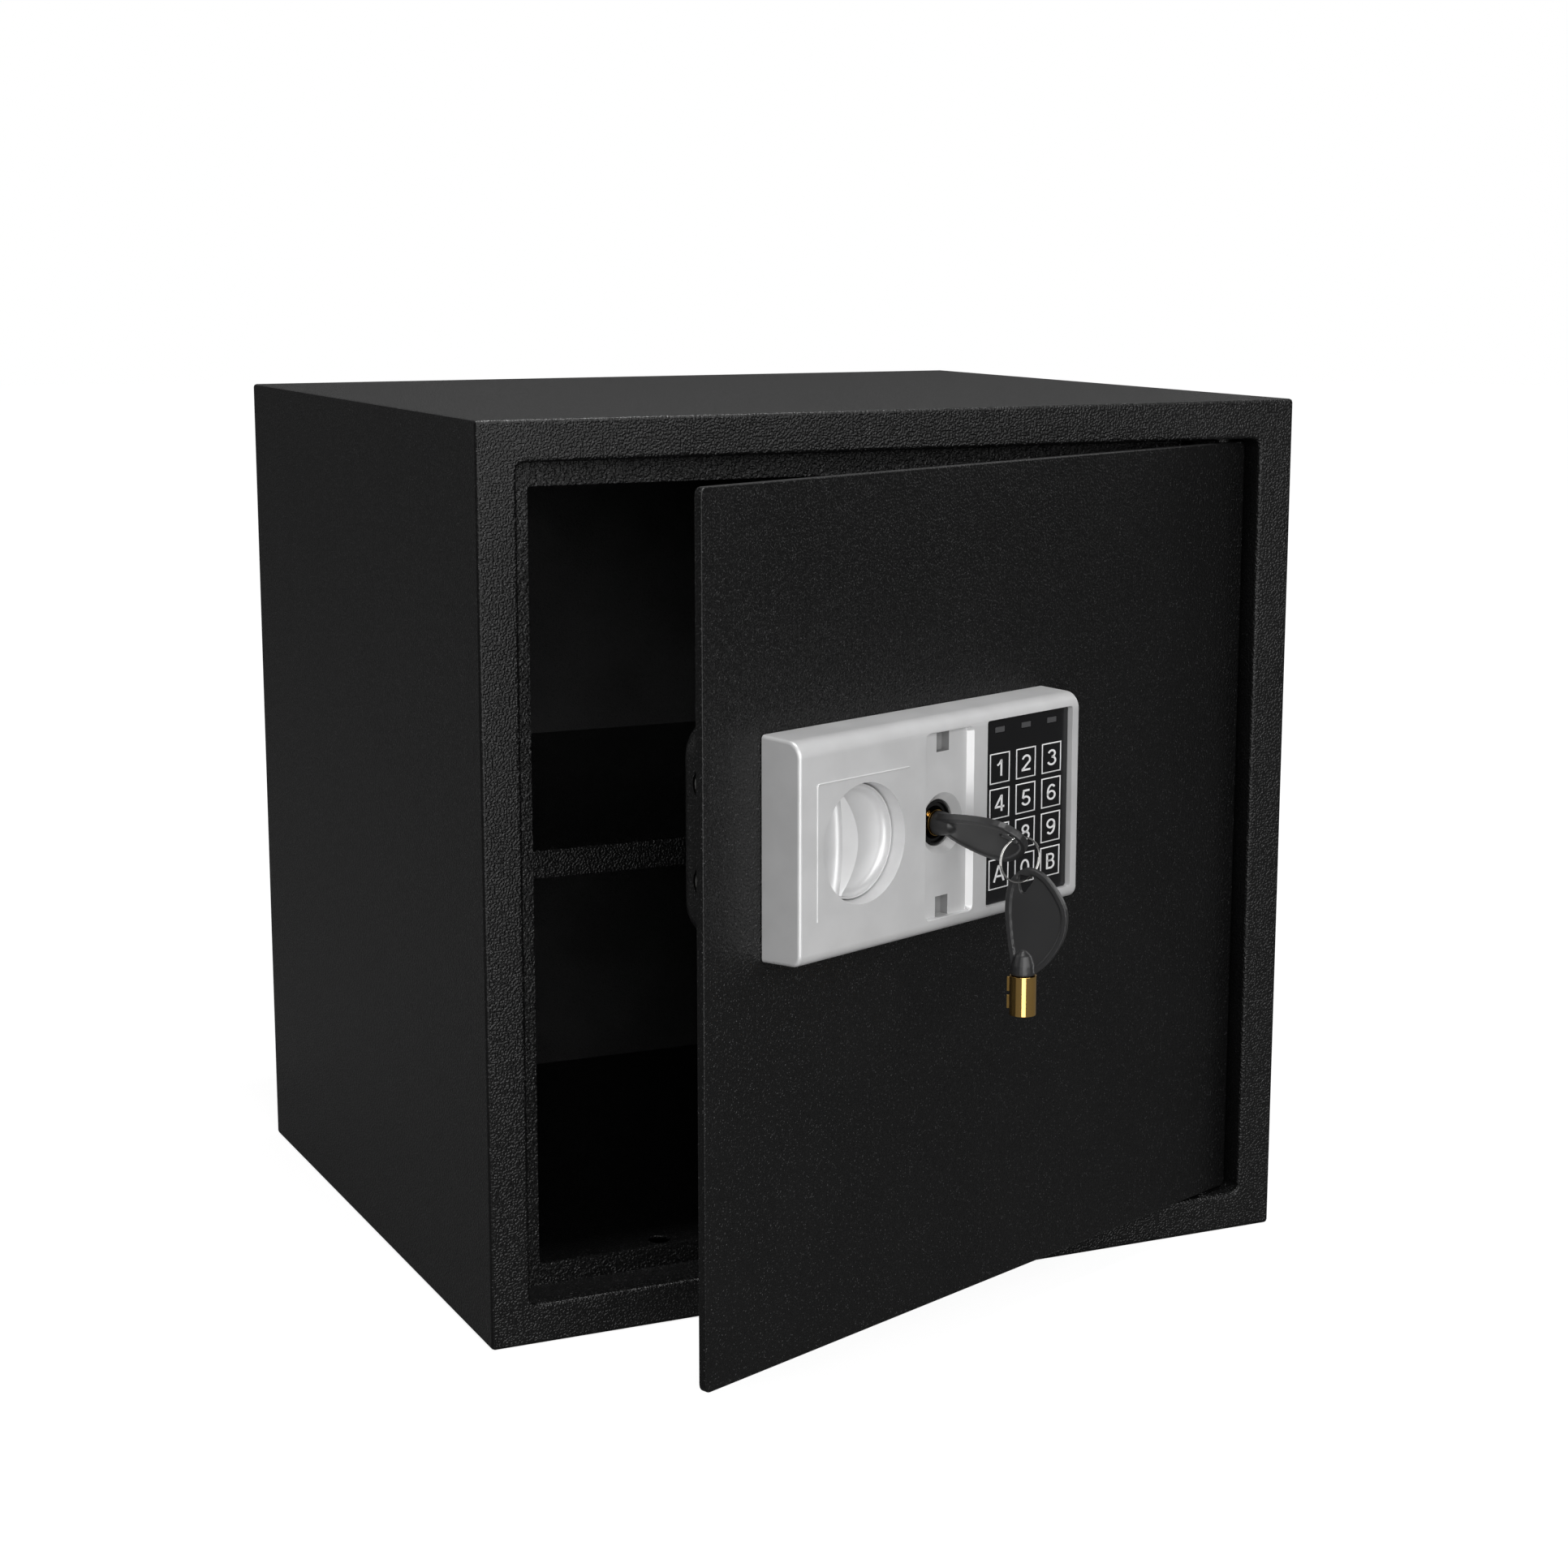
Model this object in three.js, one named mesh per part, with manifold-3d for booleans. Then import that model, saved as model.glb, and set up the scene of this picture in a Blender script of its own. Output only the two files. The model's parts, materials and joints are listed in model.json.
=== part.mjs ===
// Electronic safe: a folded steel cabinet with one shelf and a hinged steel door that carries a moulded
// lock panel, a keypad, an override lock with two tubular keys, and a bolt mechanism under a cover.
// Millimetres. Origin: centre of the cabinet's underside. +Z up, the door faces -Y, hinges at +X.
// The door pieces are drawn as the door lies when shut, and one group swings them open.

import * as THREE from 'three';
import { mergeVertices } from 'three/addons/utils/BufferGeometryUtils.js';
import Module from 'manifold-3d';

const wasm = await Module();
wasm.setup();

// Cabinet
const width = 400;
const depth = 348;
const height = 400;
const sheet = 2;
const edgeRound = 1.5;
const borderWidth = 18;
const lipRound = 1.8;
const openingCorner = 3.5;
const recessDepth = 22.5;
const stopSide = 12.4;
const stopBottom = 9.5;
const stopTop = 11.6;
const stopCorner = 1.2;
const anchorRadius = 5;
const anchorX = 102;
const anchorFromFront = 48;
const anchorBackHeight = 310;
const floorTop = 21;
const panSheet = 1.5;
const panGap = 0.5;
const shelfTop = 208;
const shelfLip = 13;
const shelfFromFront = 50;
const shelfSheet = 1.5;
const shelfGap = 1;
const bracketLeg = 14;
const bracketSheet = 1.5;
const bracketFromFront = 70;
const bracketFromBack = 12;

// Door
const doorThick = 4;
const doorSink = 3;
const doorCorner = 3;
const gapFree = 1.1;
const gapHinge = 2.3;
const gapEnds = 1.5;
const doorOpenDegrees = 22.06;
const pivotInset = 15;
const pivotBehindFace = 3.4;
const seat = 0.3;
const pinRadius = 2.5;
const pinReach = 3;
const padRadius = 3.6;
const padThick = 0.4;
const lugWidth = 15;
const lugDeep = 9.5;
const lugTall = 18;
const bushWall = 1.5;
const bushReach = 2;
const runGap = 0.25;

// Lock panel, measured from the door's hinge edge
const panelFromHinge = 150.2;
const panelWidth = 177.8;
const panelHeight = 91.5;
const panelThick = 20.7;
const panelCentreZ = 236.45;
const panelTopRound = 7;
const panelBottomRound = 5;
const panelDraft = 0.7;
const lineFromEdge = 9.9;
const lineWidth = 1.1;
const lineProud = 0.4;
const lineTall = 55.3;
const lineLong = 55;
const lineLift = 27.4;

// Knob
const knobOffset = 50.8;
const knobDrop = 0.3;
const dishRadius = 24.56;
const dishFoot = 23.9;
const knobRadius = 23.4;
const knobLipDepth = 6;
const knobFloorDepth = 9.4;
const knobThick = 6.5;
const knobLip = 0.8;
const gripTop = 3.5;
const gripShoulder = 6.3;
const gripLean = 6.2;
const gripCrescent = 7.9;
const hubRadius = 8;
const spindleRadius = 3;

// Key channel and keypad
const channelWidth = 30.7;
const channelHeight = 78.2;
const channelDeep = 2.5;
const channelBevel = 2;
const notchWidth = 8;
const notchTall = 8.5;
const notchDeep = 4;
const padFrameFromHinge = 155.35;
const padFrameWidth = 57.65;
const padFrameHeight = 79.1;
const padSink = 2.5;
const faceThick = 2.2;
const buttonWide = 13.4;
const buttonTall = 13;
const buttonDeep = 3.6;
const buttonPitchX = 17.55;
const buttonPitchZ = 15.08;
const buttonDrop = 4.35;
const buttonGap = 0.25;
const windowWide = 6.2;
const windowTall = 2.3;
const windowLift = 34.6;
const boardThick = 1.6;
const buttonTravel = 0.5;

// Override lock and keys
const lockMouth = 13;
const lockRadius = 9.5;
const lockHole = 9.8;
const mouthDeep = 3;
const plugRadius = 8.2;
const keyTubeOuter = 5.55;
const keyTubeInner = 4.7;
const keyTubeLong = 16.5;
const keyLugReach = 1.1;
const keyHeadSink = 5;
const keyTurnDegrees = 47;
const camReach = 23.9;
const camTurnDegrees = 36.1;
const camRadius = 2.5;
const camThick = 2.6;

// Key heads: outline beside and along the key's axis
const headOutline = [
  [-6.8, 14.5], [-7.8, 28.5], [-5.9, 38.6], [0.5, 44.3], [8.5, 42.1],
  [15.5, 33.7], [18.4, 25.8], [17, 15.8], [11, 5.8],
];
const headFoot = 4.4;
const headEye = [[-2.6, 41.7], [4.8, 40.9], [-0.6, 33.3]];
const headEyeRound = 1.2;
const webThick = 2.2;
const rimThick = 3.2;
const rimWidth = 2.3;
const collarRadius = 5.2;
const collarLong = 10.8;
const ringRadius = 9.1;
const ringWire = 0.62;
const ringEye = [2, 39.9];
const spareEye = [0.9, 39.6];
const ringTurnDegrees = -18;
const ringLeanDegrees = 15;
const spareAlongRing = 21.7;
const spareTurnDegrees = -70;

// Bolt mechanism behind the door plate
const boltRadius = 7;
const boltEndToKnob = 17.5;
const boltTravel = 22;
const boltPitch = 39;
const boltTipInset = 13.2;
const boltHoleGap = 1;
const strikeGap = 0.7;
const boltChamfer = 1.2;
const boltNose = 0.7;
const carriageSheet = 2;
const spigotRadius = 3.5;
const crankHalfSwing = 35;
const crankThick = 3;
const crankPinRadius = 2.5;
const postRadius = 3;
const slotGap = 0.5;

// Inner cover
const coverInset = 14;
const coverPastLock = 111.1;
const coverBottom = 199;
const coverHeight = 89;
const coverDeep = 22.4;
const coverWall = 1.5;
const coverCorner = 15;
const coverRound = 6;
const screwRadius = 1.9;
const screwHead = 3.6;
const resetRadius = 3.5;

// Batteries
const cellRadius = 7;
const cellLong = 50;
const cellPitch = 15.2;
const cellCount = 4;

const black = { color: 0x1c1c1d, roughness: 0.6, metalness: 0.3 };
const zinc = { color: 0xb8bab8, roughness: 0.35, metalness: 0.9 };
const silver = { color: 0xb9b9ba, roughness: 0.4, metalness: 0.1 };
const film = { color: 0x16161a, roughness: 0.35, metalness: 0 };
const brass = { color: 0xc79a45, roughness: 0.2, metalness: 1 };
const darkPlastic = { color: 0x333334, roughness: 0.5, metalness: 0 };
const boardGreen = { color: 0x1f5a37, roughness: 0.6, metalness: 0 };
const cellSleeve = { color: 0x2e4d7a, roughness: 0.4, metalness: 0.2 };
const redPlastic = { color: 0xa3201d, roughness: 0.4, metalness: 0 };
const lampGrey = { color: 0x5f6062, roughness: 0.3, metalness: 0 };

const turn = Math.PI * 2;
const quarter = Math.PI / 2;
const radians = (degrees) => degrees * Math.PI / 180;

// Solids and booleans

function solid(geometry) {
  const bare = geometry.clone();
  bare.deleteAttribute('normal');
  bare.deleteAttribute('uv');
  const merged = mergeVertices(bare, 1e-4);
  const points = merged.attributes.position.array;
  const corners = [];
  let volume = 0;
  for (let i = 0; i < merged.index.count; i += 3) {
    const [a, b, c] = [0, 1, 2].map((k) => merged.index.getX(i + k));
    if (a === b || b === c || c === a) continue;
    corners.push(a, b, c);
    const [p, q, r] = [a, b, c].map((k) => new THREE.Vector3().fromArray(points, 3 * k));
    volume += p.dot(q.cross(r));
  }
  if (volume < 0) {
    for (let i = 0; i < corners.length; i += 3) {
      [corners[i + 1], corners[i + 2]] = [corners[i + 2], corners[i + 1]];
    }
  }
  const mesh = new wasm.Mesh({
    numProp: 3,
    vertProperties: Float32Array.from(points),
    triVerts: Uint32Array.from(corners),
  });
  return new wasm.Manifold(mesh);
}

function join(...solids) {
  return solids.reduce((sum, next) => sum.add(next));
}

function cut(body, ...tools) {
  return tools.reduce((rest, tool) => rest.subtract(tool), body);
}

function geometryOf(body) {
  const mesh = body.getMesh();
  const points = new Float32Array(mesh.numVert * 3);
  for (let i = 0; i < mesh.numVert; i += 1) {
    for (let k = 0; k < 3; k += 1) points[3 * i + k] = mesh.vertProperties[mesh.numProp * i + k];
  }
  const geometry = new THREE.BufferGeometry();
  geometry.setAttribute('position', new THREE.BufferAttribute(points, 3));
  geometry.setIndex(new THREE.BufferAttribute(mesh.triVerts, 1));
  geometry.computeVertexNormals();
  return geometry;
}

function piece(parent, name, body, finish) {
  const mesh = new THREE.Mesh(geometryOf(body), new THREE.MeshStandardMaterial(finish));
  mesh.name = name;
  parent.add(mesh);
  return mesh;
}

// Outlines

function roundedPoints(x0, z0, x1, z1, radius, steps = 4) {
  const points = [];
  const corners = [[x1 - radius, z0 + radius], [x1 - radius, z1 - radius], [x0 + radius, z1 - radius],
    [x0 + radius, z0 + radius]];
  corners.forEach(([x, z], k) => {
    for (let i = 0; i <= steps; i += 1) {
      const angle = (k - 1 + i / steps) * quarter;
      points.push(new THREE.Vector2(x + radius * Math.cos(angle), z + radius * Math.sin(angle)));
    }
  });
  return points;
}

function roundedShape(x0, z0, x1, z1, radius, steps) {
  return new THREE.Shape(roundedPoints(x0, z0, x1, z1, radius, steps));
}

function rectangle(x0, z0, x1, z1) {
  return new THREE.Shape([[x0, z0], [x1, z0], [x1, z1], [x0, z1]].map(([x, z]) => new THREE.Vector2(x, z)));
}

function circlePoints(x, z, radius, steps = 24) {
  return Array.from({ length: steps }, (_, i) => new THREE.Vector2(
    x + radius * Math.cos(turn * i / steps),
    z + radius * Math.sin(turn * i / steps),
  ));
}

function disc(x, z, radius, steps) {
  return new THREE.Shape(circlePoints(x, z, radius, steps));
}

// Two circles joined by their outer tangents, as a slot or an arm
function slotShape(x0, z0, x1, z1, radius, endRadius = radius, steps = 8) {
  const along = Math.atan2(z1 - z0, x1 - x0);
  const points = [];
  for (let i = 0; i <= steps; i += 1) {
    const angle = along + quarter + Math.PI * i / steps;
    points.push(new THREE.Vector2(x0 + radius * Math.cos(angle), z0 + radius * Math.sin(angle)));
  }
  for (let i = 0; i <= steps; i += 1) {
    const angle = along - quarter + Math.PI * i / steps;
    points.push(new THREE.Vector2(x1 + endRadius * Math.cos(angle), z1 + endRadius * Math.sin(angle)));
  }
  return new THREE.Shape(points);
}

// Prisms along each axis, between two planes

function alongY(shape, y0, y1) {
  const geometry = new THREE.ExtrudeGeometry(shape, { depth: y1 - y0, bevelEnabled: false, curveSegments: 12 });
  geometry.rotateX(quarter);
  geometry.translate(0, y1, 0);
  return solid(geometry);
}

function alongZ(shape, z0, z1) {
  const geometry = new THREE.ExtrudeGeometry(shape, { depth: z1 - z0, bevelEnabled: false });
  geometry.translate(0, 0, z0);
  return solid(geometry);
}

function alongX(shape, x0, x1) {
  const geometry = new THREE.ExtrudeGeometry(shape, { depth: x1 - x0, bevelEnabled: false });
  const axes = new THREE.Matrix4().makeBasis(
    new THREE.Vector3(0, 1, 0),
    new THREE.Vector3(0, 0, 1),
    new THREE.Vector3(1, 0, 0),
  );
  geometry.applyMatrix4(axes);
  geometry.translate(x0, 0, 0);
  return solid(geometry);
}

function block(x0, x1, y0, y1, z0, z1) {
  return alongZ(rectangle(x0, y0, x1, y1), z0, z1);
}

// Turned forms: profile points are [radius, place along the axis]

function turnedY(profile, x, z, steps = 32) {
  const geometry = new THREE.LatheGeometry(profile.map(([r, y]) => new THREE.Vector2(r, y)), steps);
  geometry.translate(x, 0, z);
  return solid(geometry);
}

function turnedZ(profile, x, y, steps = 24) {
  const geometry = new THREE.LatheGeometry(profile.map(([r, z]) => new THREE.Vector2(r, z)), steps);
  geometry.rotateX(quarter);
  geometry.translate(x, y, 0);
  return solid(geometry);
}

function turnedX(profile, y, z, steps = 24) {
  const geometry = new THREE.LatheGeometry(profile.map(([r, x]) => new THREE.Vector2(r, x)), steps);
  geometry.rotateZ(-quarter);
  geometry.translate(0, y, z);
  return solid(geometry);
}

function rod(radius, from, to) {
  return [[0, from], [radius, from], [radius, to], [0, to]];
}

function tube(outer, inner, from, to) {
  return [[inner, from], [outer, from], [outer, to], [inner, to], [inner, from]];
}

// Skin through outlines of equal count, each placed in space by its own level, closed at both ends
function loft(outlines, place) {
  const count = outlines[0].length;
  const rings = THREE.ShapeUtils.isClockWise(outlines[0]) ? outlines.map((ring) => [...ring].reverse()) : outlines;
  const points = rings.flatMap((ring, level) => ring.flatMap((point) => place(point, level)));
  const index = [];
  for (let level = 0; level < rings.length - 1; level += 1) {
    for (let i = 0; i < count; i += 1) {
      const a = level * count + i;
      const b = level * count + (i + 1) % count;
      index.push(a, b, a + count, b, b + count, a + count);
    }
  }
  const last = (rings.length - 1) * count;
  THREE.ShapeUtils.triangulateShape(rings[0], []).forEach(([a, b, c]) => index.push(a, c, b));
  THREE.ShapeUtils.triangulateShape(rings[rings.length - 1], []).forEach(([a, b, c]) => {
    index.push(last + a, last + b, last + c);
  });
  const geometry = new THREE.BufferGeometry();
  geometry.setAttribute('position', new THREE.Float32BufferAttribute(points, 3));
  geometry.setIndex(index);
  return solid(geometry);
}

// Rounded rectangle carried along Y, drawn in by an inset at each level: levels are [y, inset]
function loftedFrame([x0, z0, x1, z1], corner, levels, steps = 4) {
  const outlines = levels.map(([, inset]) => roundedPoints(
    x0 + inset,
    z0 + inset,
    x1 - inset,
    z1 - inset,
    Math.max(corner - inset, 0.2),
    steps,
  ));
  return loft(outlines, (point, level) => [point.x, levels[level][0], point.y]);
}

// Places shared by several pieces

const front = -depth / 2;
const back = depth / 2;
const openLeft = -width / 2 + borderWidth;
const openRight = width / 2 - borderWidth;
const openBottom = borderWidth;
const openTop = height - borderWidth;
const stopFront = front + recessDepth;
const doorFront = front + doorSink;
const doorBack = doorFront + doorThick;
const doorLeft = openLeft + gapFree;
const doorRight = openRight - gapHinge;
const doorBottom = openBottom + gapEnds;
const doorTop = openTop - gapEnds;
const pivotX = doorRight - pivotInset;
const pivotY = doorFront + pivotBehindFace;
const panelRight = doorRight - panelFromHinge;
const panelLeft = panelRight - panelWidth;
const panelFront = doorFront - panelThick;
const panelBottom = panelCentreZ - panelHeight / 2;
const panelTop = panelCentreZ + panelHeight / 2;
const panelMiddle = (panelLeft + panelRight) / 2;
const lockX = panelMiddle;
const lockZ = panelCentreZ;
const knobX = panelMiddle - knobOffset;
const knobZ = panelCentreZ - knobDrop;
const coverLeft = doorLeft + coverInset;
const coverRight = lockX + coverPastLock;
const coverTop = coverBottom + coverHeight;
const coverBack = doorBack + seat + coverDeep;
const boltY = (doorBack + stopFront) / 2;
const boltTip = doorLeft + boltTipInset;
const boltMiddle = coverBottom + coverHeight / 2;
const boltHeights = { lower: boltMiddle - boltPitch / 2, upper: boltMiddle + boltPitch / 2 };
const boltEnd = knobX - boltEndToKnob;
const crankRadius = boltTravel / 2 / Math.sin(radians(crankHalfSwing));
const crankFront = doorBack + 0.5;
const crankPinX = knobX + crankRadius * Math.sin(radians(crankHalfSwing));
const crankPinZ = knobZ - crankRadius * Math.cos(radians(crankHalfSwing));
const carriageBack = boltY + boltRadius;
const carriageFront = carriageBack - carriageSheet;
const channelFloor = panelFront + channelDeep;
const padRight = doorRight - padFrameFromHinge;
const padLeft = padRight - padFrameWidth;
const padMiddle = (padLeft + padRight) / 2;
const padFloor = panelFront + padSink;
const faceBack = padFloor + faceThick;
const boardFront = padFloor + buttonDeep + buttonTravel + seat;
const boardBack = boardFront + boardThick;
const lockFront = channelFloor + mouthDeep + seat;
const keyHeadStart = panelFront + keyHeadSink;

const safe = new THREE.Group();
const cabinet = new THREE.Group();
safe.add(cabinet);

// The door group turns about the hinge axis; its pieces keep the shut door's coordinates
const doorSwing = new THREE.Group();
doorSwing.position.set(pivotX, pivotY, 0);
doorSwing.rotation.z = radians(doorOpenDegrees);
safe.add(doorSwing);
const door = new THREE.Group();
door.position.set(-pivotX, -pivotY, 0);
doorSwing.add(door);

// Cabinet: wrap, front frame, door recess and stop flange folded from one sheet

// The mouth's rounded lip, from the front face inwards
function lipLevels(steps = 3) {
  return Array.from({ length: steps + 1 }, (_, i) => {
    const angle = quarter * i / steps;
    return [front + lipRound * (1 - Math.cos(angle)), -lipRound * (1 - Math.sin(angle))];
  });
}

function bodyShell() {
  const wrap = alongY(roundedShape(-width / 2, 0, width / 2, height, edgeRound, 2), front, back);
  const inside = block(-width / 2 + sheet, width / 2 - sheet, front + sheet, back + 1, sheet, height - sheet);
  const recessWalls = alongY(roundedShape(
    openLeft - sheet,
    openBottom - sheet,
    openRight + sheet,
    openTop + sheet,
    openingCorner + sheet,
    3,
  ), front + sheet / 2, stopFront + sheet);
  const mouth = loftedFrame(
    [openLeft, openBottom, openRight, openTop],
    openingCorner,
    [[front - 1, -lipRound], ...lipLevels(), [stopFront, 0]],
    3,
  );
  const stopOpening = alongY(roundedShape(
    openLeft + stopSide,
    openBottom + stopBottom,
    openRight - stopSide,
    openTop - stopTop,
    stopCorner,
    2,
  ), stopFront - 1, stopFront + sheet + 1);
  const reach = boltRadius + strikeGap;
  const strikes = Object.values(boltHeights).map((z) => alongX(
    roundedShape(boltY - reach, z - reach, boltY + reach, z + reach, 0.5, 1),
    openLeft - sheet - 1,
    openLeft + 1,
  ));
  const pivots = [[openBottom - sheet - 1, openBottom + 1], [openTop - 1, openTop + sheet + 1]].map(
    ([z0, z1]) => alongZ(disc(pivotX, pivotY, bushRadius() + seat / 3, 16), z0, z1),
  );
  const anchors = [-anchorX, anchorX].map((x) => alongZ(
    disc(x, front + anchorFromFront, anchorRadius, 16),
    -1,
    sheet + 1,
  ));
  return cut(join(cut(wrap, inside), recessWalls), mouth, stopOpening, ...strikes, ...pivots, ...anchors);
}

function bushRadius() {
  return pinRadius + runGap + bushWall;
}

function backPanel() {
  const plate = block(-width / 2 + sheet, width / 2 - sheet, back - sheet, back, sheet, height - sheet);
  const anchors = [-anchorX, anchorX].map((x) => alongY(
    disc(x, anchorBackHeight, anchorRadius, 16),
    back - sheet - 1,
    back + 1,
  ));
  return cut(plate, ...anchors);
}

function floorPan() {
  const side = width / 2 - sheet - panGap;
  const y0 = stopFront + sheet;
  const y1 = back - sheet - panGap;
  const outer = block(-side, side, y0, y1, sheet, floorTop);
  const hollow = block(
    -side + panSheet,
    side - panSheet,
    y0 + panSheet,
    y1 - panSheet,
    sheet - 1,
    floorTop - panSheet,
  );
  const anchors = [-anchorX, anchorX].map((x) => alongZ(
    disc(x, front + anchorFromFront, anchorRadius, 16),
    floorTop - panSheet - 1,
    floorTop + 1,
  ));
  return cut(outer, hollow, ...anchors);
}

// Shelf: a tray with a deep lip folded down in front and a short one at the rear
function shelf() {
  const y0 = front + shelfFromFront;
  const y1 = back - sheet - seat;
  const under = shelfTop - shelfSheet;
  const profile = new THREE.Shape([
    [y0, shelfTop - shelfLip], [y0 + shelfSheet, shelfTop - shelfLip], [y0 + shelfSheet, under],
    [y1 - shelfSheet, under], [y1 - shelfSheet, shelfTop - shelfLip / 2], [y1, shelfTop - shelfLip / 2],
    [y1, shelfTop], [y0 + shelfSheet / 2, shelfTop], [y0, shelfTop - shelfSheet / 2],
  ].map(([y, z]) => new THREE.Vector2(y, z)));
  const side = width / 2 - sheet - shelfGap;
  return alongX(profile, -side, side);
}

function shelfBracket(side) {
  const wall = side * (width / 2 - sheet);
  const top = shelfTop - shelfSheet;
  const profile = new THREE.Shape([
    [0, top - bracketLeg], [bracketSheet, top - bracketLeg], [bracketSheet, top - bracketSheet],
    [bracketLeg, top - bracketSheet], [bracketLeg, top], [0, top],
  ].map(([x, z]) => new THREE.Vector2(wall - side * x, z)));
  return alongY(profile, front + bracketFromFront, back - sheet - bracketFromBack);
}

// Hinge bush: a collar in the recess wall that stands a little proud of it under the door's pad
function hingeBush(top) {
  const inner = pinRadius + runGap;
  const face = top ? openTop : openBottom;
  const out = top ? 1 : -1;
  const profile = [
    [inner, face - out * (gapEnds - seat - padThick) / 2],
    [bushRadius(), face - out * (gapEnds - seat - padThick) / 2],
    [bushRadius(), face + out * (sheet + bushReach)],
    [inner, face + out * (sheet + bushReach)],
    [inner, face - out * (gapEnds - seat - padThick) / 2],
  ];
  return turnedZ(profile, pivotX, pivotY, 16);
}

piece(cabinet, 'body_shell', bodyShell(), black);
piece(cabinet, 'back_panel', backPanel(), black);
piece(cabinet, 'floor_pan', floorPan(), black);
piece(cabinet, 'shelf', shelf(), black);
piece(cabinet, 'shelf_bracket_left', shelfBracket(-1), black);
piece(cabinet, 'shelf_bracket_right', shelfBracket(1), black);
piece(cabinet, 'hinge_bush_top', hingeBush(true), black);
piece(cabinet, 'hinge_bush_bottom', hingeBush(false), black);

// Door plate and hinge pins

function doorPlate() {
  const plate = alongY(roundedShape(doorLeft, doorBottom, doorRight, doorTop, doorCorner), doorFront, doorBack);
  const holes = [
    disc(knobX, knobZ, spindleRadius + slotGap, 16),
    disc(lockX, lockZ, lockHole, 24),
    disc(padMiddle, panelCentreZ, 6, 16),
  ].map((shape) => alongY(shape, doorFront - 1, doorBack + 1));
  return cut(plate, ...holes);
}

// A lug welded behind the plate carries a pad over the plate's edge, and the pin stands on the pad
function hingePin(top) {
  const edge = top ? doorTop : doorBottom;
  const out = top ? 1 : -1;
  const pad = edge + out * (seat + padThick);
  const rise = (near, far) => [Math.min(near, far), Math.max(near, far)];
  const lug = block(
    pivotX - lugWidth / 2,
    pivotX + lugWidth / 2,
    doorBack + seat,
    doorBack + seat + lugDeep,
    ...rise(edge - out * lugTall, pad),
  );
  const padDisc = alongZ(disc(pivotX, pivotY, padRadius, 16), ...rise(edge + out * seat, pad));
  const pinEnd = (top ? openTop : openBottom) + out * (sheet + pinReach);
  const pin = alongZ(disc(pivotX, pivotY, pinRadius, 16), ...rise(pad - out * padThick / 2, pinEnd));
  return join(lug, padDisc, pin);
}

piece(door, 'door_plate', doorPlate(), black);
piece(door, 'hinge_pin_top', hingePin(true), black);
piece(door, 'hinge_pin_bottom', hingePin(false), black);

// Lock panel: a moulded housing of one long profile with a knob dish, key channel and keypad pocket

function panelProfile() {
  const rear = doorFront - seat;
  const shape = new THREE.Shape();
  shape.moveTo(rear, panelBottom);
  shape.lineTo(rear, panelTop);
  shape.lineTo(panelFront + panelTopRound, panelTop - panelDraft);
  shape.absarc(
    panelFront + panelTopRound,
    panelTop - panelDraft - panelTopRound,
    panelTopRound,
    quarter,
    Math.PI,
  );
  shape.absarc(
    panelFront + panelBottomRound,
    panelBottom + panelDraft + panelBottomRound,
    panelBottomRound,
    Math.PI,
    Math.PI * 1.5,
  );
  shape.lineTo(rear, panelBottom);
  return new THREE.Shape(shape.getPoints(6).slice(0, -1));
}

function lockPanel() {
  const housing = alongX(panelProfile(), panelLeft, panelRight);
  const through = doorFront + 1;
  const knobFoot = panelFront + knobLipDepth + knobThick + seat;
  const dish = turnedY([
    [0, panelFront - 1], [dishRadius, panelFront - 1], [dishRadius, panelFront],
    [dishFoot, panelFront + knobLipDepth], [dishFoot, knobFoot], [0, knobFoot],
  ], knobX, knobZ, 48);
  const hubHole = turnedY(rod(hubRadius + seat, knobFoot - 1, through), knobX, knobZ, 24);
  const channelBox = [lockX + 2 - channelWidth / 2, panelCentreZ - channelHeight / 2,
    lockX + 2 + channelWidth / 2, panelCentreZ + channelHeight / 2];
  const channel = loftedFrame(channelBox, channelBevel + 0.4, [
    [panelFront - 1, 0], [panelFront, 0], [channelFloor, channelBevel],
  ], 2);
  const channelEnds = alongY(
    rectangle(channelBox[0] + channelBevel, channelBox[1] + 0.4, channelBox[2] - channelBevel, channelBox[3] - 0.4),
    panelFront - 1,
    channelFloor,
  );
  const notches = [channelBox[1] + 0.4, channelBox[3] - 0.4 - notchTall].map((z) => alongY(
    rectangle(lockX - notchWidth / 2, z, lockX + notchWidth / 2, z + notchTall),
    channelFloor - 1,
    channelFloor + notchDeep,
  ));
  const mouth = turnedY([
    [0, channelFloor - 1], [lockMouth, channelFloor - 1], [lockMouth, channelFloor],
    [lockHole, channelFloor + mouthDeep], [lockHole, through], [0, through],
  ], lockX, lockZ, 32);
  const keypadPocket = alongY(roundedShape(
    padLeft,
    panelCentreZ - padFrameHeight / 2,
    padRight,
    panelCentreZ + padFrameHeight / 2,
    1.2,
    2,
  ), panelFront - 1, boardBack + seat);
  const lineX = panelLeft + lineFromEdge;
  const lineTop = panelCentreZ + lineLift;
  const bead = join(
    alongY(rectangle(lineX, lineTop - lineTall, lineX + lineWidth, lineTop), panelFront - lineProud, panelFront + lineProud),
    alongY(rectangle(lineX, lineTop - lineWidth, lineX + lineLong, lineTop), panelFront - lineProud, panelFront + lineProud),
  );
  return join(cut(housing, dish, hubHole, channel, channelEnds, ...notches, mouth, keypadPocket), bead);
}

piece(door, 'lock_panel', lockPanel(), silver);

// Keypad: a face with twelve windows, the buttons behind them, a light guide and the board

const buttonNames = [['1', '2', '3'], ['4', '5', '6'], ['7', '8', '9'], ['a', '0', 'b']];

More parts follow.
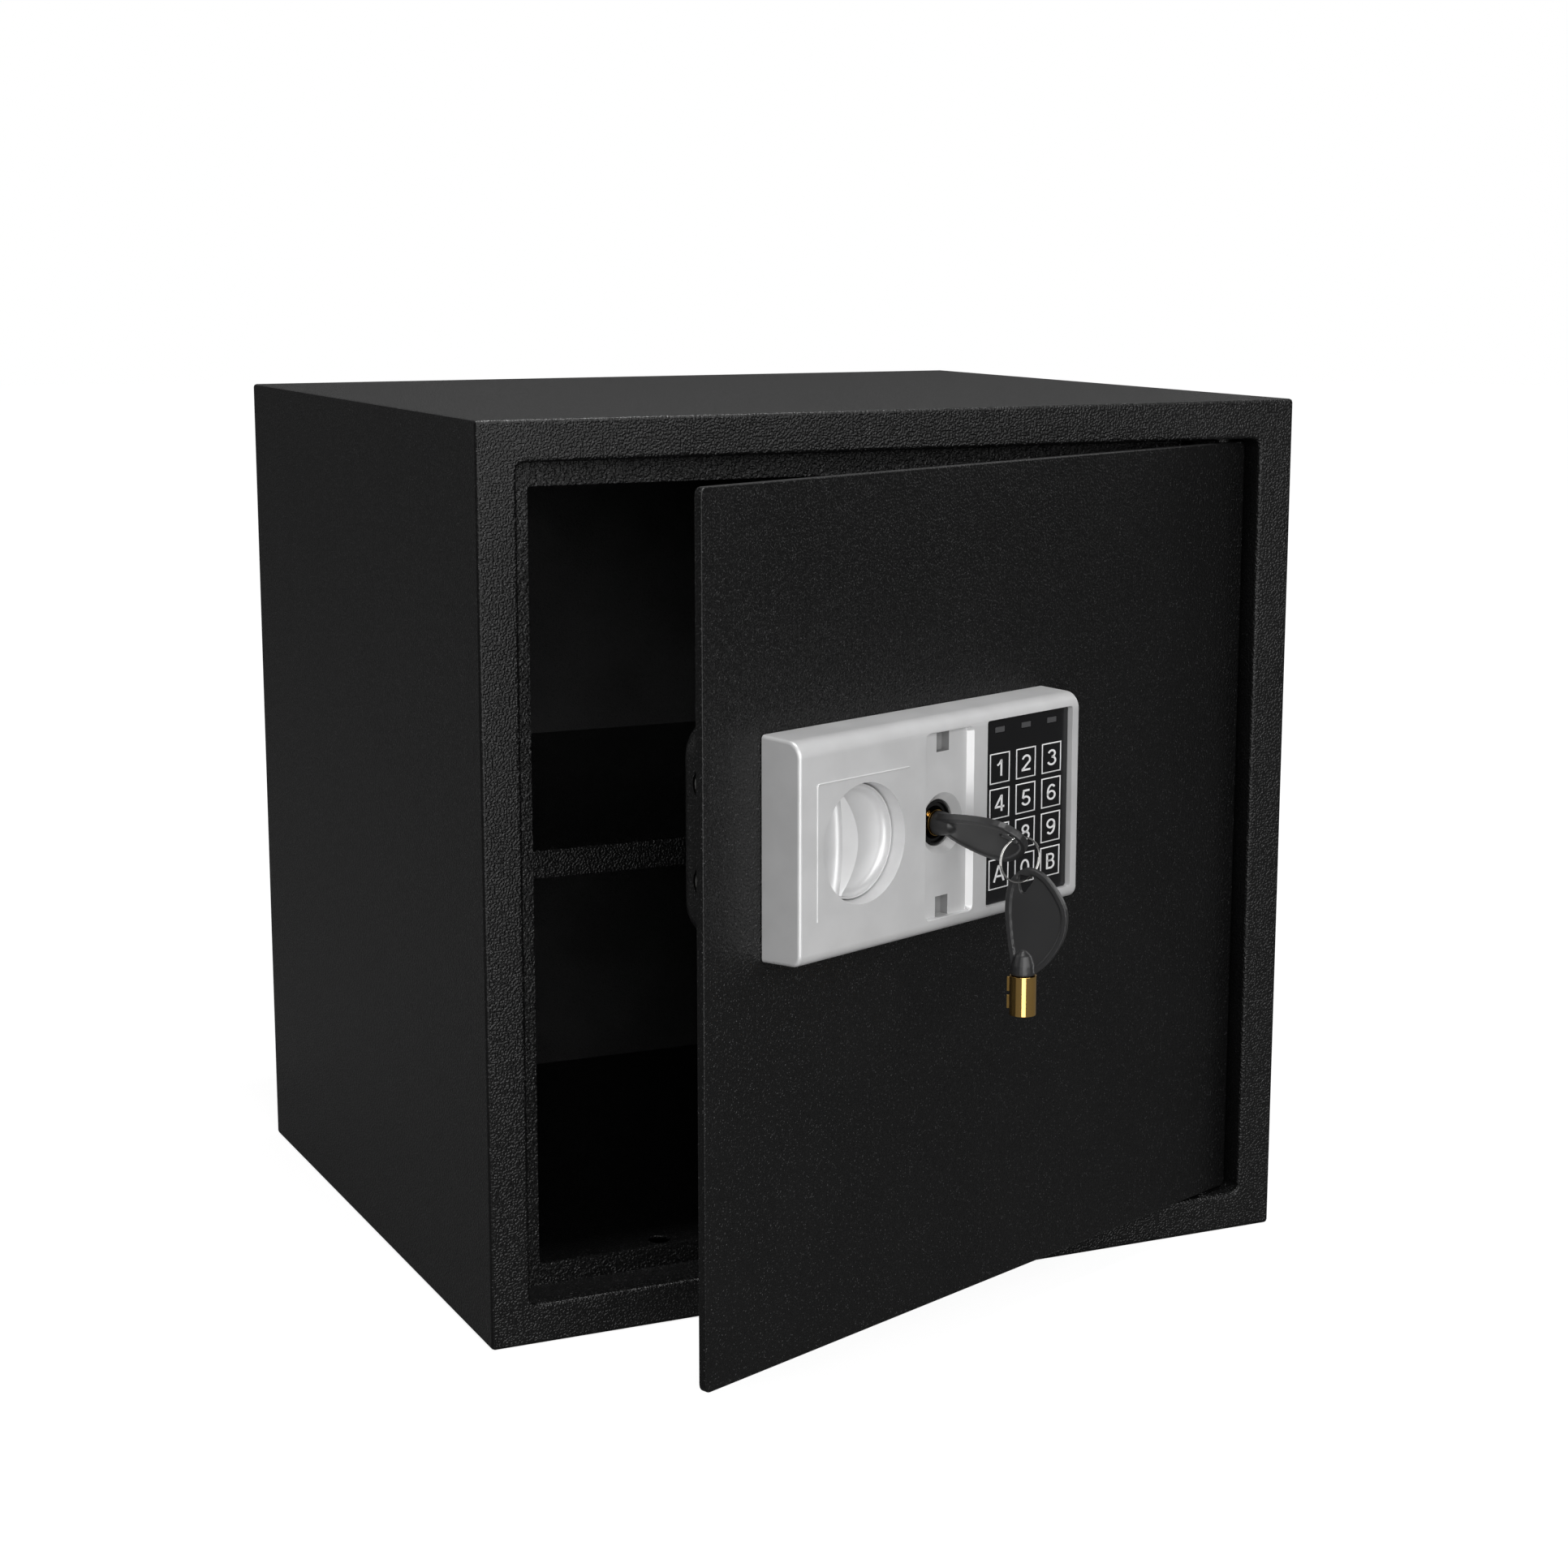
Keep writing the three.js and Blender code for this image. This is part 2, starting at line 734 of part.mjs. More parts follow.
function buttonCentre(row, column) {
  const rowsMiddle = panelCentreZ - buttonDrop;
  return [padMiddle + (column - 1) * buttonPitchX, rowsMiddle + (1.5 - row) * buttonPitchZ];
}

const lampCentres = [-1, 0, 1].map((k) => [padMiddle + k * buttonPitchX, panelCentreZ + windowLift]);

function keypadFace() {
  const face = alongY(roundedShape(
    padLeft + seat,
    panelCentreZ - padFrameHeight / 2 + seat,
    padRight - seat,
    panelCentreZ + padFrameHeight / 2 - seat,
    1,
    2,
  ), padFloor, faceBack);
  const cutOuts = buttonNames.flatMap((names, row) => names.map((_, column) => {
    const [x, z] = buttonCentre(row, column);
    const [w, h] = [buttonWide / 2 + buttonGap, buttonTall / 2 + buttonGap];
    return alongY(rectangle(x - w, z - h, x + w, z + h), padFloor - 1, faceBack + 1);
  }));
  const lamps = lampCentres.map(([x, z]) => alongY(
    rectangle(
      x - windowWide / 2 - buttonGap,
      z - windowTall / 2 - buttonGap,
      x + windowWide / 2 + buttonGap,
      z + windowTall / 2 + buttonGap,
    ),
    padFloor - 1,
    faceBack + 1,
  ));
  return cut(face, ...cutOuts, ...lamps);
}

function statusWindow() {
  const half = buttonPitchX + windowWide / 2 + 1;
  const z = panelCentreZ + windowLift;
  const bar = block(padMiddle - half, padMiddle + half, faceBack + seat, faceBack + seat + 1.2, z - 2.2, z + 2.2);
  const lenses = lampCentres.map(([x, lampZ]) => block(
    x - windowWide / 2,
    x + windowWide / 2,
    padFloor + 0.1,
    faceBack + seat + 0.5,
    lampZ - windowTall / 2,
    lampZ + windowTall / 2,
  ));
  return join(bar, ...lenses);
}

function keypadBoard() {
  const margin = 0.8;
  return block(
    padLeft + margin,
    padRight - margin,
    boardFront,
    boardBack,
    panelCentreZ - padFrameHeight / 2 + margin,
    panelCentreZ + padFrameHeight / 2 - margin,
  );
}

function button(row, column) {
  const [x, z] = buttonCentre(row, column);
  const shape = roundedShape(x - buttonWide / 2, z - buttonTall / 2, x + buttonWide / 2, z + buttonTall / 2, 0.6, 1);
  return alongY(shape, padFloor, padFloor + buttonDeep);
}

piece(door, 'keypad_face', keypadFace(), film);
piece(door, 'status_window', statusWindow(), lampGrey);
piece(door, 'keypad_board', keypadBoard(), boardGreen);
buttonNames.forEach((names, row) => names.forEach((name, column) => {
  piece(door, `button_${name}`, button(row, column), film);
}));

// Knob: a cup whose floor carries a crescent grip from lip to lip

const knobLipY = panelFront + knobLipDepth;
const knobFloorY = panelFront + knobFloorDepth;
const knobBack = knobLipY + knobThick;
const spindleFront = knobFloorY + 1.6;

// Section of the grip at a height above the knob's middle: lean is towards the door's free edge
function gripSection(rise) {
  const reach = knobRadius - knobLip;
  const share = Math.min(1, (rise / (reach * 0.94)) ** 2);
  const crest = gripCrescent * share;
  const shoulder = gripLean + (gripCrescent + 0.4 - gripLean) * share;
  const crestY = panelFront + gripTop + (gripShoulder - 0.4 - gripTop) * share;
  const shoulderY = panelFront + gripShoulder;
  const scoop = (from, fromY, side, size) => [0, 0.25, 0.5, 0.75, 1].map((t) => new THREE.Vector2(
    from + side * size * (1 - Math.cos(t * quarter)),
    fromY + (knobFloorY - fromY) * Math.sin(t * quarter),
  ));
  const under = knobFloorY + 1;
  const left = scoop(shoulder, shoulderY, 1, 4.5).reverse();
  const right = scoop(crest, crestY, -1, 3.5);
  return [
    new THREE.Vector2(left[0].x, under),
    ...left,
    ...right,
    new THREE.Vector2(right[right.length - 1].x, under),
  ];
}

function knob() {
  const curve = [0, 0.25, 0.5, 0.75, 1].map((t) => [
    knobRadius - knobLip - 3.4 * (1 - Math.sin(t * quarter)),
    knobLipY + (knobFloorY - knobLipY) * Math.cos(t * quarter),
  ]);
  const cup = turnedY([
    [0, knobFloorY], ...curve, [knobRadius - 0.2, knobLipY], [knobRadius, knobLipY + 0.2],
    [knobRadius, knobBack], [hubRadius, knobBack], [hubRadius, doorFront - 2 * seat], [0, doorFront - 2 * seat],
  ], knobX, knobZ, 48);
  const steps = 16;
  const reach = knobRadius - 0.5;
  const rises = Array.from({ length: steps + 1 }, (_, i) => reach * (2 * i / steps - 1));
  const grip = loft(
    rises.map((rise) => gripSection(rise)),
    (point, level) => [knobX - point.x, point.y, knobZ + rises[level]],
  );
  const bound = turnedY(rod(knobRadius - knobLip, panelFront, knobBack - 1), knobX, knobZ, 48);
  const socket = turnedY(rod(spindleRadius + seat, spindleFront - seat, doorFront), knobX, knobZ, 16);
  return cut(join(cup, grip.intersect(bound)), socket);
}

const crankBack = crankFront + crankThick;

function knobSpindle() {
  return turnedY([
    [0, spindleFront], [spindleRadius, spindleFront], [spindleRadius, crankBack + 1.5], [0, crankBack + 1.5],
  ], knobX, knobZ, 16);
}

// Crank: an arm on the spindle whose pin drives the bolt plate's upright slot
function knobCrank() {
  const arm = alongY(slotShape(knobX, knobZ, crankPinX, crankPinZ, 7, 5), crankFront, crankBack);
  const pin = turnedY(rod(crankPinRadius, crankBack - 1, carriageBack + 1), crankPinX, crankPinZ, 16);
  const bore = turnedY(rod(spindleRadius + seat, crankFront - 1, crankBack + 1), knobX, knobZ, 16);
  return cut(join(arm, pin), bore);
}

piece(door, 'knob', knob(), silver);
piece(door, 'knob_spindle', knobSpindle(), zinc);
piece(door, 'knob_crank', knobCrank(), zinc);

// Bolts and the sliding plate that joins them

const plateLeft = boltEnd + seat;
const plateRight = lockX + 5.4;
const plateBottom = boltHeights.lower - 18;
const plateTop = boltHeights.upper + 12;
const posts = [[crankPinX + 1.2, boltHeights.upper + 1], [crankPinX + 15.2, boltHeights.lower - 11.5]];
const blockLeft = lockX - 6.6;
const blockWide = 4;
const blockBottom = lockZ + 13.5;
const blockTall = 8;
const plungerX = lockX - 16.6;
const plungerY = carriageFront - 5.7;
const plungerTip = blockBottom + blockTall + 0.6;
const plungerHead = 4.4;
const plungerHeadTall = 4;
const plungerStem = 2.6;
const plungerTravel = 5;

function bolt(z) {
  return turnedX([
    [0, boltTip], [boltRadius - boltChamfer - boltNose, boltTip], [boltRadius - boltNose, boltTip + boltNose],
    [boltRadius, boltTip + boltChamfer + boltNose], [boltRadius, boltEnd], [spigotRadius, boltEnd],
    [spigotRadius, plateLeft + carriageSheet + 2], [0, plateLeft + carriageSheet + 2],
  ], boltY, z, 24);
}

function boltPlate() {
  const web = block(plateLeft, plateRight, carriageFront, carriageBack, plateBottom, plateTop);
  const flange = block(plateLeft, plateLeft + carriageSheet, boltY - boltRadius, carriageBack, plateBottom, plateTop);
  const tab = block(
    blockLeft,
    blockLeft + blockWide,
    carriageFront - camThick,
    carriageFront + 1,
    blockBottom,
    blockBottom + blockTall,
  );
  const spigotHoles = Object.values(boltHeights).map((z) => alongX(
    disc(boltY, z, spigotRadius + seat, 16),
    plateLeft - 1,
    plateLeft + carriageSheet + 1,
  ));
  const crankSlot = alongY(slotShape(
    crankPinX,
    knobZ - crankRadius,
    crankPinX,
    crankPinZ,
    crankPinRadius + slotGap,
  ), carriageFront - 1, carriageBack + 1);
  const guideSlots = posts.map(([x, z]) => alongY(
    slotShape(x, z, x + boltTravel, z, postRadius + seat),
    carriageFront - 1,
    carriageBack + 1,
  ));
  return cut(join(web, flange, tab), ...spigotHoles, crankSlot, ...guideSlots);
}

piece(door, 'bolt_plate', boltPlate(), zinc);
piece(door, 'bolt_upper', bolt(boltHeights.upper), zinc);
piece(door, 'bolt_lower', bolt(boltHeights.lower), zinc);

// Guide at the door's free edge that the bolts pass through, with feet welded to the plate
function boltGuide() {
  const x0 = coverLeft + coverWall + 2;
  const thick = 3;
  const foot = 10;
  const [z0, z1] = [boltHeights.lower - 13, boltHeights.upper + 13];
  const wall = block(x0, x0 + thick, doorBack + seat, carriageBack + 1.2, z0, z1);
  const base = block(x0, x0 + foot, doorBack + seat, doorBack + seat + 0.35, z0, z1);
  const holes = Object.values(boltHeights).map((z) => alongX(
    disc(boltY, z, boltRadius + runGap, 24),
    x0 - 1,
    x0 + foot + 1,
  ));
  return cut(join(wall, base), ...holes);
}

// A flat strip behind the plate stands two headed posts in the bolt plate's slots
function guideStrip() {
  const [[x0, z0], [x1, z1]] = posts;
  const strip = alongY(slotShape(x0, z0, x1, z1, 5.5), doorBack + seat, doorBack + seat + 1.5);
  const stands = posts.map(([x, z]) => turnedY([
    [0, doorBack + seat], [postRadius + 2, doorBack + seat], [postRadius + 2, carriageFront - seat],
    [postRadius, carriageFront - seat], [postRadius, carriageBack + seat], [postRadius + 2, carriageBack + seat],
    [postRadius + 2, carriageBack + 2], [0, carriageBack + 2],
  ], x, z, 16));
  return join(strip, ...stands);
}

piece(door, 'bolt_guide', boltGuide(), zinc);
piece(door, 'guide_strip', guideStrip(), zinc);

// Solenoid whose plunger drops beside the plate's block, with its spring

const solenoidBottom = plungerTip + plungerHeadTall + 3.4;
const solenoidTall = 19;
const solenoidHalf = 10.5;

function solenoidBody() {
  const y0 = plungerY - 5.6;
  const y1 = carriageFront - 0.6;
  const case_ = block(
    plungerX - solenoidHalf,
    plungerX + solenoidHalf,
    y0,
    y1,
    solenoidBottom,
    solenoidBottom + solenoidTall,
  );
  const bore = turnedZ(rod(plungerStem + seat, solenoidBottom - 1, solenoidBottom + 14), plungerX, plungerY, 16);
  const foot = block(
    plungerX - solenoidHalf - 3,
    plungerX + solenoidHalf + 3,
    doorBack + seat,
    doorBack + seat + 1.2,
    solenoidBottom + 4,
    solenoidBottom + solenoidTall - 4,
  );
  return join(cut(case_, bore), foot);
}

function solenoidPlunger() {
  return turnedZ([
    [0, plungerTip], [plungerHead - 0.6, plungerTip], [plungerHead, plungerTip + 0.6],
    [plungerHead, plungerTip + plungerHeadTall], [plungerStem, plungerTip + plungerHeadTall],
    [plungerStem, solenoidBottom + 13], [0, solenoidBottom + 13],
  ], plungerX, plungerY, 16);
}

function coil(radius, wire, bottom, top, turns) {
  const steps = turns * 8;
  const points = Array.from({ length: steps + 1 }, (_, i) => new THREE.Vector3(
    plungerX + radius * Math.cos(turn * turns * i / steps),
    plungerY + radius * Math.sin(turn * turns * i / steps),
    bottom + wire + (top - bottom - 2 * wire) * i / steps,
  ));
  const path = new THREE.CatmullRomCurve3(points);
  const geometry = new THREE.ExtrudeGeometry(disc(0, 0, wire, 5), { steps, extrudePath: path });
  return solid(geometry);
}

const headTop = plungerTip + plungerHeadTall;
piece(door, 'solenoid_body', solenoidBody(), zinc);
piece(door, 'solenoid_plunger', solenoidPlunger(), zinc);
piece(door, 'plunger_spring', coil(plungerStem + 0.9, 0.4, headTop + seat, solenoidBottom - seat, 2), zinc);

// Override lock: cylinder with its nut, the plug that turns in it, and the cam on the plug's tail

const nutBack = doorBack + seat + 4;
const plugBack = nutBack + 1;
const tailBack = carriageFront - 1.2;
const camBack = carriageFront - camThick - 0.5;
const camFront = camBack - camThick;

function lockCylinder() {
  const bore = plugRadius + runGap;
  return turnedY([
    [bore, lockFront], [lockRadius - 0.5, lockFront], [lockRadius, lockFront + 0.5], [lockRadius, plugBack],
    [5.5, plugBack], [5.5, plugBack - 1.5], [bore, plugBack - 1.5], [bore, lockFront],
  ], lockX, lockZ, 32);
}

function lockNut() {
  const hexagon = disc(lockX, lockZ, 13.6, 6);
  const nut = alongY(hexagon, doorBack + seat, nutBack);
  return cut(nut, turnedY(rod(lockRadius + seat, doorBack, nutBack + 1), lockX, lockZ, 32));
}

function lockPlug() {
  const plugFront = lockFront + 1;
  const seatBack = plugBack - 1.5 - seat;
  const body = turnedY([
    [0, plugFront], [plugRadius, plugFront], [plugRadius, seatBack], [5, seatBack], [5, camFront - seat],
    [3.2, camFront - seat], [3.2, tailBack], [0, tailBack],
  ], lockX, lockZ, 24);
  const keyway = turnedY(
    tube(keyTubeOuter + keyLugReach + seat, keyTubeInner - 0.8, plugFront - 1, keyHeadStart + keyTubeLong + 1),
    lockX,
    lockZ,
    24,
  );
  return cut(body, keyway);
}

function lockCam() {
  const tipX = lockX - camReach * Math.sin(radians(camTurnDegrees));
  const tipZ = lockZ + camReach * Math.cos(radians(camTurnDegrees));
  const arm = alongY(slotShape(lockX, lockZ, tipX, tipZ, 6.5, camRadius), camFront, camBack);
  return cut(arm, turnedY(rod(3.2 + seat, camFront - 1, camBack + 1), lockX, lockZ, 16));
}

piece(door, 'lock_cylinder', lockCylinder(), film);
piece(door, 'lock_nut', lockNut(), zinc);
piece(door, 'lock_plug', lockPlug(), film);
piece(door, 'lock_cam', lockCam(), zinc);

// Tubular keys, drawn with the shaft along +Z: the head stands on z = 0 and the tube hangs below it

function headShape() {
  const shape = new THREE.Shape();
  shape.moveTo(-headFoot, 0);
  shape.splineThru(headOutline.map(([x, z]) => new THREE.Vector2(x, z)).concat(new THREE.Vector2(headFoot, 0)));
  return shape.getPoints(3);
}

// Each point moves inwards along the mean of its two edge normals
function drawnIn(points, distance) {
  const count = points.length;
  const side = THREE.ShapeUtils.isClockWise(points) ? -1 : 1;
  return points.map((point, i) => {
    const before = points[(i + count - 1) % count];
    const after = points[(i + 1) % count];
    const along = after.clone().sub(before).normalize();
    return new THREE.Vector2(point.x - side * along.y * distance, point.y + side * along.x * distance);
  });
}

function slab(points, thick) {
  return alongY(new THREE.Shape(points), -thick / 2, thick / 2);
}

function roundedTriangle(corners, radius) {
  const middle = corners.reduce((sum, [x, z]) => [sum[0] + x / 3, sum[1] + z / 3], [0, 0]);
  return corners.flatMap(([x, z]) => {
    const reach = Math.hypot(middle[0] - x, middle[1] - z);
    const [cx, cz] = [x + (middle[0] - x) * radius * 1.6 / reach, z + (middle[1] - z) * radius * 1.6 / reach];
    const out = Math.atan2(z - middle[1], x - middle[0]);
    return [1, 0.5, 0, -0.5, -1].map((k) => new THREE.Vector2(
      cx + radius * Math.cos(out + k),
      cz + radius * Math.sin(out + k),
    ));
  });
}

function keyHead() {
  const outline = headShape();
  const inner = drawnIn(outline, rimWidth).filter((point) => point.y > rimWidth);
  const rim = cut(slab(outline, rimThick), slab(inner, rimThick + 2));
  const collar = turnedZ([
    [0, 0], [collarRadius, 0], [collarRadius, 1], [collarRadius - 0.4, 4], [collarRadius - 1.6, 8],
    [1.8, collarLong - 1], [0, collarLong],
  ], 0, 0, 20);
  const eye = slab(roundedTriangle(headEye, headEyeRound), rimThick + 2);
  return cut(join(slab(outline, webThick), rim, collar), eye);
}

function keyTube() {
  const wall = turnedZ(tube(keyTubeOuter, keyTubeInner, -seat - keyTubeLong, -seat), 0, 0, 24);
  const reach = keyTubeOuter + keyLugReach;
  const lugs = [[-keyTubeLong + 1.8, -keyTubeLong + 7.5], [-7.5, -1.4]].map(([z0, z1]) => block(
    -reach,
    -keyTubeOuter + 0.5,
    -1.1,
    1.1,
    z0,
    z1,
  ));
  return join(wall, ...lugs);
}

// Key one stands in the lock: its shaft along the door's outward normal, its head turned about it
const keyOne = new THREE.Group();
keyOne.position.set(lockX, keyHeadStart, lockZ);
keyOne.rotation.set(quarter, 0, 0);
door.add(keyOne);
const keyOneTurn = new THREE.Group();
keyOneTurn.rotation.z = radians(-keyTurnDegrees);
keyOne.add(keyOneTurn);
piece(keyOneTurn, 'key_one_head', keyHead(), darkPlastic);
piece(keyOneTurn, 'key_one_tube', keyTube(), brass);

// The split ring leans from key one's eye, and the spare key hangs from the ring
const ringLean = radians(ringLeanDegrees);
const spareAlong = radians(spareAlongRing);

function keyRing() {
  const geometry = new THREE.TorusGeometry(ringRadius, ringWire, 8, 40);
  geometry.rotateX(quarter);
  geometry.translate(ringRadius * Math.sin(ringLean), 0, -ringRadius * Math.cos(ringLean));
  return solid(geometry);
}

const ringHang = new THREE.Group();
const eyeReach = radians(keyTurnDegrees);
ringHang.position.set(
  lockX + ringEye[0] * Math.cos(eyeReach),
  keyHeadStart - ringEye[1],
  lockZ - ringEye[0] * Math.sin(eyeReach),
);
ringHang.rotation.z = radians(ringTurnDegrees);
door.add(ringHang);
piece(ringHang, 'key_ring', keyRing(), zinc);

const spareKey = new THREE.Group();
const spareSide = ringRadius * (Math.sin(ringLean) + Math.sin(spareAlong));
spareKey.position.set(
  ringHang.position.x + spareSide * Math.cos(radians(ringTurnDegrees)),
  ringHang.position.y + spareSide * Math.sin(radians(ringTurnDegrees)),
  ringHang.position.z - ringRadius * (Math.cos(ringLean) + Math.cos(spareAlong)),
);
spareKey.rotation.z = radians(spareTurnDegrees);
door.add(spareKey);
const spareHang = new THREE.Group();
spareHang.position.set(-spareEye[0], 0, -spareEye[1]);
spareKey.add(spareHang);
piece(spareHang, 'key_two_head', keyHead(), darkPlastic);
piece(spareHang, 'key_two_tube', keyTube(), brass);

// Control board, batteries and their tray on the plate's back

const trayLeft = coverRight - 61;
const trayRight = coverRight - coverWall - 5;
const cellsBottom = coverBottom + 7.5;
const trayTop = cellsBottom + cellCount * cellPitch + 1;
const cellY = doorBack + seat + 1.6 + seat + cellRadius;
const trayBack = cellY + 2;

function controlBoard() {
  return block(
    lockX + 30,
    trayLeft - 2,
    doorBack + seat,
    doorBack + seat + boardThick,
    coverBottom + 7,
    coverTop - 7,
  );
}

function batteryTray() {
  const y0 = doorBack + seat;
  const outer = block(trayLeft, trayRight, y0, trayBack, cellsBottom - 1.5, trayTop + 0.5);
  const bay = block(trayLeft + 1.5, trayRight - 1.5, y0 + 1.6, trayBack + 1, cellsBottom, trayTop - 1);
  return cut(outer, bay);
}

function cell(index) {
  const z = cellsBottom + cellPitch * (index + 0.5);
  const x0 = (trayLeft + trayRight - cellLong) / 2;
  return turnedX([
    [0, x0], [cellRadius - 0.5, x0], [cellRadius, x0 + 0.5], [cellRadius, x0 + cellLong - 1.5],
    [cellRadius - 0.5, x0 + cellLong - 1], [2.6, x0 + cellLong - 1], [2.6, x0 + cellLong], [0, x0 + cellLong],
  ], cellY, z, 20);
}

piece(door, 'control_board', controlBoard(), boardGreen);
piece(door, 'battery_tray', batteryTray(), darkPlastic);
for (let i = 0; i < cellCount; i += 1) piece(door, `battery_${i + 1}`, cell(i), cellSleeve);

// Inner cover: a drawn tub over the mechanism, with a battery lid, two screws and a reset button

const screwPlaces = [[coverLeft + 24, coverTop - 7], [lockX + 22, coverTop - 12]];
const resetX = lockX + 42;
const resetZ = coverTop - 12;
const lidLeft = trayLeft - 3;
const lidRight = coverRight - coverCorner + 3;
const lidBottom = cellsBottom - 1;
const lidTop = trayTop;
const lidThick = 1.6;
const railReach = 2;

function tub(inset, from) {
  const round = coverRound - inset;
  const end = coverBack - inset;
  const levels = [0, 0.25, 0.5, 0.75, 1].map((t) => [
    end - round + round * Math.sin(t * quarter),
    round * (1 - Math.cos(t * quarter)),
  ]);
  return loftedFrame(
    [coverLeft + inset, coverBottom + inset, coverRight - inset, coverTop - inset],
    coverCorner - inset,
    [[from, 0], ...levels],
    5,
  );
}

function mechCover() {
  const shell = cut(tub(0, doorBack + seat), tub(coverWall, doorBack - 1));
  const boltHoles = Object.values(boltHeights).map((z) => alongX(
    disc(boltY, z, boltRadius + boltHoleGap / 2, 20),
    coverLeft - 1,
    coverLeft + coverWall + 1,
  ));
  const bosses = screwPlaces.map(([x, z]) => turnedY(
    tube(screwRadius + 2, screwRadius + seat, doorBack + seat, coverBack - coverWall / 2),
    x,
    z,
    16,
  ));
  const screwHoles = screwPlaces.map(([x, z]) => turnedY(
    rod(screwRadius + seat, doorBack, coverBack + 1),
    x,
    z,
    16,
  ));
  const lidOpening = alongY(
    rectangle(lidLeft + 2.5, lidBottom + 2.5, lidRight - 2.5, lidTop - 2.5),
    coverBack - coverWall - 1,
    coverBack + 1,
  );
  const resetHole = alongY(disc(resetX, resetZ, resetRadius + seat, 16), coverBack - coverWall - 1, coverBack + 1);
  const rails = [lidBottom - railReach, lidTop + seat].map((z, k) => {
    const wall = block(lidLeft, lidRight, coverBack - 1, coverBack + lidThick + 2 * seat + 1, z, z + railReach - seat);
    const lip = block(
      lidLeft,
      lidRight,
      coverBack + lidThick + 2 * seat,
      coverBack + lidThick + 2 * seat + 1,
      k === 0 ? z : z - railReach / 2,
      k === 0 ? z + railReach * 1.5 : z + railReach - seat,
    );
    return join(wall, lip);
  });
  return cut(join(cut(shell, ...boltHoles, lidOpening, resetHole), ...bosses, ...rails), ...screwHoles);
}

function batteryLid() {
  const plate = block(lidLeft, lidRight, coverBack + seat, coverBack + seat + lidThick, lidBottom, lidTop);
  const grips = [0, 1, 2].map((k) => block(
    lidLeft + 4 + 3 * k,
    lidLeft + 5.2 + 3 * k,
    coverBack + seat + lidThick - 0.5,
    coverBack + seat + lidThick + 0.9,
    lidBottom + 18,
    lidTop - 18,
  ));
  return join(plate, ...grips);
}

function coverScrew([x, z]) {
  const head = coverBack + seat;
  return turnedY([
    [0, doorBack + 1], [screwRadius, doorBack + 1], [screwRadius, head], [screwHead, head],
    [screwHead - 0.3, head + 1.2], [screwHead - 1.4, head + 2], [0, head + 2.2],
  ], x, z, 16);
}

function resetButton() {
  const stemFront = doorBack + seat + boardThick + 2;
  return turnedY([
    [0, stemFront], [2, stemFront], [2, coverBack - 4], [resetRadius, coverBack - 4],
    [resetRadius, coverBack + 1.4], [resetRadius - 0.6, coverBack + 2], [0, coverBack + 2],
  ], resetX, resetZ, 16);
}

piece(door, 'mech_cover', mechCover(), black);
piece(door, 'battery_lid', batteryLid(), darkPlastic);
piece(door, 'cover_screw_1', coverScrew(screwPlaces[0]), zinc);
piece(door, 'cover_screw_2', coverScrew(screwPlaces[1]), zinc);
piece(door, 'reset_button', resetButton(), redPlastic);

export default safe;
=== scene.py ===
"""Electronic safe: a powder-coated steel cabinet, its open door and the silver lock panel with its keys.

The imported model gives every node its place. This script gives each visible piece its finish: rounded edges,
printed keypad, moulded key heads, a split ring and screws, then the studio that the safe stands in.
Metres throughout, +Z up, the door faces -Y.
"""

import json
import math

import bmesh
import bpy
import numpy
from mathutils import Matrix, Vector


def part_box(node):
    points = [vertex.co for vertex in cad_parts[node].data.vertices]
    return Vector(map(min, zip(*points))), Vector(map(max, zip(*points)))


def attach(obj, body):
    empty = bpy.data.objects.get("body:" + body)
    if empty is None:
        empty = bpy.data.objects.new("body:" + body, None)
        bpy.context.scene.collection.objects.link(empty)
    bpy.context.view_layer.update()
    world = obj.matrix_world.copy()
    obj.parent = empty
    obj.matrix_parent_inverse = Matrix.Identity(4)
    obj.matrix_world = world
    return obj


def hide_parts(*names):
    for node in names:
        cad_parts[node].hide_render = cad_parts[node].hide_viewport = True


bl_info = {
    "name": "Electronic Safe",
    "version": (1, 0, 0),
    "blender": (4, 5, 0),
    "location": "View3D > Sidebar > Safe",
    "description": "Finishes the cabinet, door, lock panel, keypad and keys of an electronic safe",
    "category": "Object",
}

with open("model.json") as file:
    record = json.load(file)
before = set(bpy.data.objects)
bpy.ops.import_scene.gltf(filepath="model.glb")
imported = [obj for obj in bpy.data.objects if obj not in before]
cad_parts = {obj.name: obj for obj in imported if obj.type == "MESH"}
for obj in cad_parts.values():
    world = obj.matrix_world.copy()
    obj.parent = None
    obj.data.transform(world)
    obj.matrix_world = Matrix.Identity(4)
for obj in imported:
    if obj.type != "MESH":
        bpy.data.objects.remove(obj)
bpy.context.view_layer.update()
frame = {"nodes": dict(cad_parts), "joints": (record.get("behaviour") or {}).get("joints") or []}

joints = {joint["name"]: joint for joint in frame["joints"]}
hinge_at = Vector(joints["door_swing"]["pos_m"])
door_angle = math.radians(-joints["door_swing"]["range_deg"][0])
DOOR = (
    Matrix.Translation(hinge_at)
    @ Matrix.Rotation(door_angle, 4, "Z")
    @ Matrix.Translation(-hinge_at)
)
SHUT = DOOR.inverted()


def shut_box(node):
    """Corners of a door node as it lies with the door shut, in metres."""
    points = [SHUT @ vertex.co for vertex in frame["nodes"][node].data.vertices]
    low = Vector([min(point[k] for point in points) for k in range(3)])
    high = Vector([max(point[k] for point in points) for k in range(3)])
    return low, high


# Sizes and colours


def length(name, description, value):
    """Setting for a length in metres."""
    return bpy.props.FloatProperty(
        name=name, description=description, default=value, unit="LENGTH", precision=5
    )


